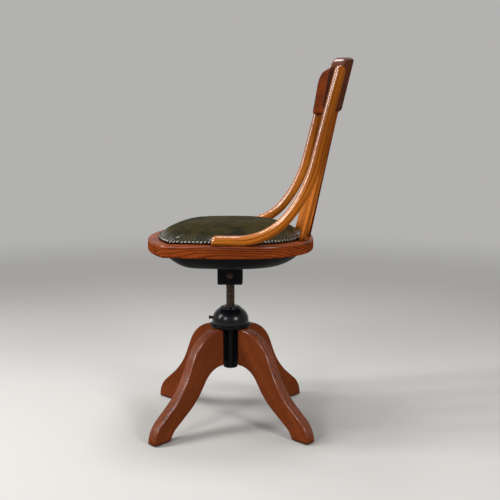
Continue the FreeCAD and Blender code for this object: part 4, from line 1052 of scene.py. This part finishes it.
def old_leather(name):
    """Olive leather, dry on the crown and polished where it is pulled tight round the rim."""
    made, tree, shader = new_finish(name)
    place = own_place(tree)
    slow = ramp(tree, noise(tree, place, 11.0, 4, 0.62), 0.36, 0.66)
    fine = ramp(tree, noise(tree, place, 52.0, 5, 0.7), 0.40, 0.68)
    colour = tinted(tree, mixed(tree, slow, GREEN_DARK, GREEN_WARM), RUBBED_HIDE, fine, 0.35)
    # Dirt and painted shade darken the corners, through the occlusion mask.
    dirt_and_shade = use_group(tree, grime_and_shade, Distance=0.010, Amount=0.9)["Mask"]
    colour = mixed(tree, dirt_and_shade, colour, HIDE_DIRT_AND_SHADE)
    edge = node(tree, "ShaderNodeSeparateXYZ", {0: marked(tree, "gathers")}).outputs
    pull = maths(tree, "ABSOLUTE", maths(tree, "COSINE", times(tree, edge[0], pi)))
    near_nail = inverse(tree, ramp(tree, edge[1], FOLD_FROM, FOLD_TO))
    # The fold at each nail is bumped in and darkened with painted shade.
    fold_and_shade = times(tree, maths(tree, "POWER", pull, 3.0), near_nail)
    cells = speckled(tree, place, 620.0, "SMOOTH_F1")
    creases = ramp(tree, speckled(tree, place, 95.0, "DISTANCE_TO_EDGE"), 0.0, 0.10)
    pebble = times_add(tree, creases, 0.5, times(tree, cells, -0.8))
    rim = inverse(tree, ramp(tree, own_height(tree), GLOSS_FROM, GLOSS_TO))
    feed(tree, shader, {
        "Base Color": tinted(tree, colour, FOLD_SHADE, fold_and_shade, 0.5),
        "Roughness": times_add(tree, fine, -0.10, 0.60),
        "Specular IOR Level": 0.03,
        "Coat Weight": times(tree, rim, 0.9),
        "Coat Roughness": 0.15,
        "Normal": bumped(tree, times_add(tree, fold_and_shade, -5.0, pebble), 0.5 * MM),
    })
    return made


leather = old_leather("leather")
print(leather.name)

# %% Pad
PAD_EDGE = PAD_INSET + 0.8 * MM
PAD_CROWN = [(0, 0, 10), (0.4, 0.15, 12), (2.5, 0.29, 14), (7.5, 0.42, 18), (16, 0.54, 22), (26, 0.645, 26),
             (40, 0.75, 33), (54, 0.84, 40), (70, 0.905, 46), (88, 0.956, 50), (106, 0.987, 46), (126, 1, 40)]
PAD_CELL = 5 * MM
PIN_HEIGHT = PAD_FLOOR + 7 * MM
PRESSURE = 4.0
PRESSED_FRAMES = 20
SWELL = 4 * MM


def make_pad():
    """The crown before it is blown up, low by what the pressure adds."""
    rise = PAD_TOP - PAD_FLOOR - SWELL
    rings = outline_rings([(PAD_EDGE + inset * MM, PAD_FLOOR + rise * share, corner * MM)
                           for inset, share, corner in PAD_CROWN])
    made = make_loft("leather_pad", rings, leather, "seat", ["seat_pad"])
    made.modifiers.clear()
    return made


def blow_up(piece):
    """Cloth under pressure, pinned at the nailed edge; no point moves further than the swell."""
    bpy.context.view_layer.objects.active = piece
    remesh = piece.modifiers.new("remesh", "REMESH")
    remesh.mode = "VOXEL"
    remesh.voxel_size = PAD_CELL
    bpy.ops.object.modifier_apply(modifier=remesh.name)
    before = points_of(piece.data)
    pins = piece.vertex_groups.new(name="nailed_edge")
    pins.add(np.flatnonzero(before[:, 2] < PIN_HEIGHT).tolist(), 1.0, "REPLACE")
    cloth = piece.modifiers.new("cloth", "CLOTH")
    cloth.settings.vertex_group_mass = pins.name
    cloth.settings.use_pressure = True
    cloth.settings.uniform_pressure_force = PRESSURE
    cloth.settings.effector_weights.gravity = 0
    for step in range(1, PRESSED_FRAMES + 1):
        bpy.context.scene.frame_set(step)
    shaped = piece.evaluated_get(bpy.context.evaluated_depsgraph_get())
    move = points_of(shaped.data) - before
    piece.modifiers.remove(cloth)
    bpy.context.scene.frame_set(1)
    far = norm(move, axis=1)
    move *= np.minimum(1, SWELL / np.maximum(far, 1e-9))[:, None]
    piece.data.vertices.foreach_set("co", (before + move).ravel())
    piece.data.update()
    print("pad moved at most", round(float(far.max()) * 1000, 1), "mm")


pad = make_pad()
blow_up(pad)
finer = pad.modifiers.new("finer", "SUBSURF")
finer.levels = finer.render_levels = 1
pad.data.shade_smooth()
print(pad.name, [round(x, 3) for x in pad.dimensions])

# %% [markdown]
# ## Upholstery nails
# Small domed nails hold the leather's edge, set nearly touching. One dome is turned, then
# stamped round the outline at an even pitch and tipped outward with the leather. The
# leather's finish draws a small fold with painted shade at each nail, so the pad learns
# where its nails are.

# %% Nails
NAIL_RADIUS = 3.9 * MM
NAIL_TALL = NAIL_RADIUS * 0.62
NAIL_PITCH = 9.2 * MM
NAIL_INSET = PAD_INSET + 1.8 * MM
NAIL_CORNER = 9 * MM
NAIL_HEIGHT = FRAME_TOP + 4.6 * MM
NAIL_TILT = radians(50)
NAIL_SEED = 11
TILT_ERROR = 0.06
PLACE_ERROR = 0.25 * MM


def even_places(flat, pitch):
    """Points at an even pitch round a closed line, with the outward direction at each."""
    closed = np.vstack([flat, flat[:1]])
    run = run_along(closed)
    count = round(run[-1] / pitch)
    marks = np.arange(count) * run[-1] / count
    places = np.column_stack([np.interp(marks, run, closed[:, axis]) for axis in (0, 1)])
    ahead = np.roll(places, -1, 0) - np.roll(places, 1, 0)
    out = np.column_stack([ahead[:, 1], -ahead[:, 0]])
    return places, out / norm(out, axis=1)[:, None]


def dome(radius, tall, sides=12, levels=4):
    """A low dome with a flat foot, as points and faces."""
    points = []
    for level in range(levels):
        angle = pi / 2 * level / levels
        for side in range(sides):
            x, y = spin(cos(angle) * radius, 0, 2 * pi * side / sides)
            points.append((x, y, sin(angle) * tall))
    points.append((0, 0, tall))
    top = (levels - 1) * sides
    faces = quads(levels, sides)
    faces += [(top + side, top + (side + 1) % sides, len(points) - 1) for side in range(sides)]
    faces.append(tuple(range(sides - 1, -1, -1)))
    return np.array(points), faces


def make_nails(places, outward):
    """One dome stamped at each place, each a little out of true."""
    shape, dome_faces = dome(NAIL_RADIUS, NAIL_TALL)
    random = np.random.default_rng(NAIL_SEED)
    points, faces = [], []
    for place, out in zip(places, outward):
        tilt = NAIL_TILT + random.normal(0, TILT_ERROR)
        up = np.array([out[0] * sin(tilt), out[1] * sin(tilt), cos(tilt)])
        side = np.array([-out[1], out[0], 0])
        third = np.cross(up, side)
        nudge = random.normal(0, PLACE_ERROR, 3)
        base = np.array([place[0], place[1], NAIL_HEIGHT]) + nudge
        first = len(points) * len(shape)
        points.append(base + shape[:, :1] * side + shape[:, 1:2] * third + shape[:, 2:] * up)
        faces += [tuple(first + index for index in face) for face in dome_faces]
    return make_piece("upholstery_nails", points, faces, nail_metal, "seat")


def mark_gathers(piece, places, outward):
    """Let each point of the pad carry its place round the edge, counted in nails, and its depth inside."""
    gaps = points_of(piece.data)[:, None, :2] - places[None]
    nearest = norm(gaps, axis=2).argmin(1)
    gap = gaps[np.arange(len(nearest)), nearest]
    out = outward[nearest]
    run = nearest + (gap[:, 1] * out[:, 0] - gap[:, 0] * out[:, 1]) / NAIL_PITCH
    depth = -(gap * out).sum(1)
    mark_points(piece.data, "gathers", np.column_stack([run, depth, np.zeros(len(run))]))


nail_places, nail_ways = even_places(seat_outline(NAIL_INSET, NAIL_CORNER), NAIL_PITCH)
make_nails(nail_places, nail_ways)
mark_gathers(pad, nail_places, nail_ways)
print("nails", len(nail_places))

# %% [markdown]
# ## Iron dome
# The dome over the nut is pressed round, so it is a profile swept about the swivel axis. Its
# edges carry a small radius, because an iron edge is never sharp. Sizes of turned pieces are
# in millimetres.

# %% Dome
DOME_SIDES = 96
DOME_INSIDE = [(21.6, 284.5), (41.4, 256), (41.4, 250.2), (45.4, 250.2)]
DOME_FOOT = np.array([46, 256])
DOME_TOP = np.array([26, 289.5])
SHOULDER = 36.8
SAME_POINT = 1e-5


def turned(radius, height, side, sides):
    """A point at one side of a turned piece, in metres."""
    x, y = spin(radius * MM, 0, 2 * pi * side / sides)
    return x, y, height * MM


def bend(profile, radius, first, last, centre, steps):
    """Add an arc to a profile, by its centre and its first and last angle in degrees."""
    for step in range(steps + 1):
        angle = radians(first + (last - first) * step / steps)
        profile.append((centre[0] + cos(angle) * radius, centre[1] + sin(angle) * radius))


def make_dome():
    """The wall as a closed profile: inside, foot, round shoulder and lip."""
    profile = list(DOME_INSIDE)
    bend(profile, 0.6, -90, 0, (45.4, 250.8), 3)
    span = DOME_TOP - DOME_FOOT
    chord = norm(span)
    inward = np.array([-span[1], span[0]]) / chord
    centre = DOME_FOOT + span / 2 + inward * sqrt(SHOULDER ** 2 - (chord / 2) ** 2)
    start, end = (degrees(atan2(y, x)) for x, y in (DOME_FOOT - centre, DOME_TOP - centre))
    bend(profile, SHOULDER, start, end, centre, 18)
    bend(profile, 1.0, 0, 90, (25, 291), 4)
    bend(profile, 0.6, 90, 180, (22, 291.4), 3)
    rings = [[turned(r, z, side, DOME_SIDES) for r, z in profile] for side in range(DOME_SIDES)]
    made = make_loft("iron_dome", rings, gloss_japan, "base", ["dome_cover"], loop=True)
    made.modifiers.new("weld", "WELD").merge_threshold = SAME_POINT
    return made


make_dome()

# %% [markdown]
# ## Spindle thread
# The spindle lifts the seat 6 mm each turn, so its thread has that pitch. The thread is a
# grid round the rod whose radius follows how far each point is through a turn: flat crest,
# sloped flank, flat root, sloped flank.

# %% Spindle
PITCH = 6.0
THREAD_OUT = 11.0
THREAD_ROOT = 9.8
THREAD_LOW, THREAD_HIGH = 205.5, 349
THREAD_STEP = 0.5
THREAD_FADE = 2
THREAD_FORM = ((0, 0.36, 0.46, 0.88, 1), (0, 0, 1, 1, 0))
SPINDLE_SIDES = 48
SPINDLE_TAIL = ((7, 192.4), (7, 204.5), (9.3, 204.6), (9.3, 205.4))
SPINDLE_HEAD = ((12, 351.5), (14.5, 356), (14.5, 391.5), (14, 392))


def make_spindle():
    """The tail and the head are plain; the thread between them fades out below the head."""
    sides = np.arange(SPINDLE_SIDES)
    rows = [[(r, z)] * SPINDLE_SIDES for r, z in SPINDLE_TAIL]
    for z in np.append(np.arange(THREAD_LOW, THREAD_HIGH, THREAD_STEP), THREAD_HIGH):
        through = (z / PITCH - sides / SPINDLE_SIDES) % 1.0
        deepest = (THREAD_OUT - THREAD_ROOT) * min(1.0, (THREAD_HIGH - z) / THREAD_FADE)
        rows.append([(THREAD_OUT - deepest * share, z) for share in np.interp(through, *THREAD_FORM)])
    rows += [[(r, z)] * SPINDLE_SIDES for r, z in SPINDLE_HEAD]
    rings = [[turned(r, z, side, SPINDLE_SIDES) for side, (r, z) in enumerate(row)] for row in rows]
    return make_loft("threaded_spindle", rings, screw_steel, "seat", ["spindle"])


make_spindle()

# %% [markdown]
# ## Pieces that keep their own shape
# The rest keeps the shape it has in the frame and takes a finish only. Jute webbing lies
# under the pad, and dowels pin the crest to the stays. Both show only from below or at a
# joint, and have a plain woven or oak finish.

# %% Jute
def jute(name):
    """A plain weave of pale and darker threads."""
    made, tree, shader = new_finish(name)
    rows = [node(tree, "ShaderNodeTexWave", {"Vector": own_place(tree), "Scale": 160.0, "Distortion": 0.6},
                 bands_direction=way).outputs["Fac"] for way in ("X", "Y")]
    weave = times(tree, *rows)
    feed(tree, shader, {
        "Base Color": mixed(tree, weave, (0.20, 0.13, 0.06, 1), (0.42, 0.31, 0.17, 1)),
        "Roughness": 0.9,
        "Normal": bumped(tree, weave, 0.6 * MM),
    })
    return made


# %% Finishes of the kept pieces
KEPT = {
    hub_japan: ("hub_casting", "tube_cap"),
    gloss_japan: ("spindle_nut",),
    dull_japan: ("foot_glides", "lock_thumb_screw", "seat_bracket", "pan_screws"),
    screw_steel: ("stop_washer", "stop_pin"),
    rusty_pin: ("bracket_pin",),
    fixing_steel: ("lug_screws", "thrust_washer", "bracket_bolts", "stay_screws"),
    jute("webbing"): ("seat_webbing",),
    golden_oak: ("crest_dowels",),
}
for finish, names in KEPT.items():
    for name in names:
        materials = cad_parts[name].data.materials
        materials.clear()
        materials.append(finish)
print("kept", sum(len(names) for names in KEPT.values()))

# %% Sizes
low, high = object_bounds()
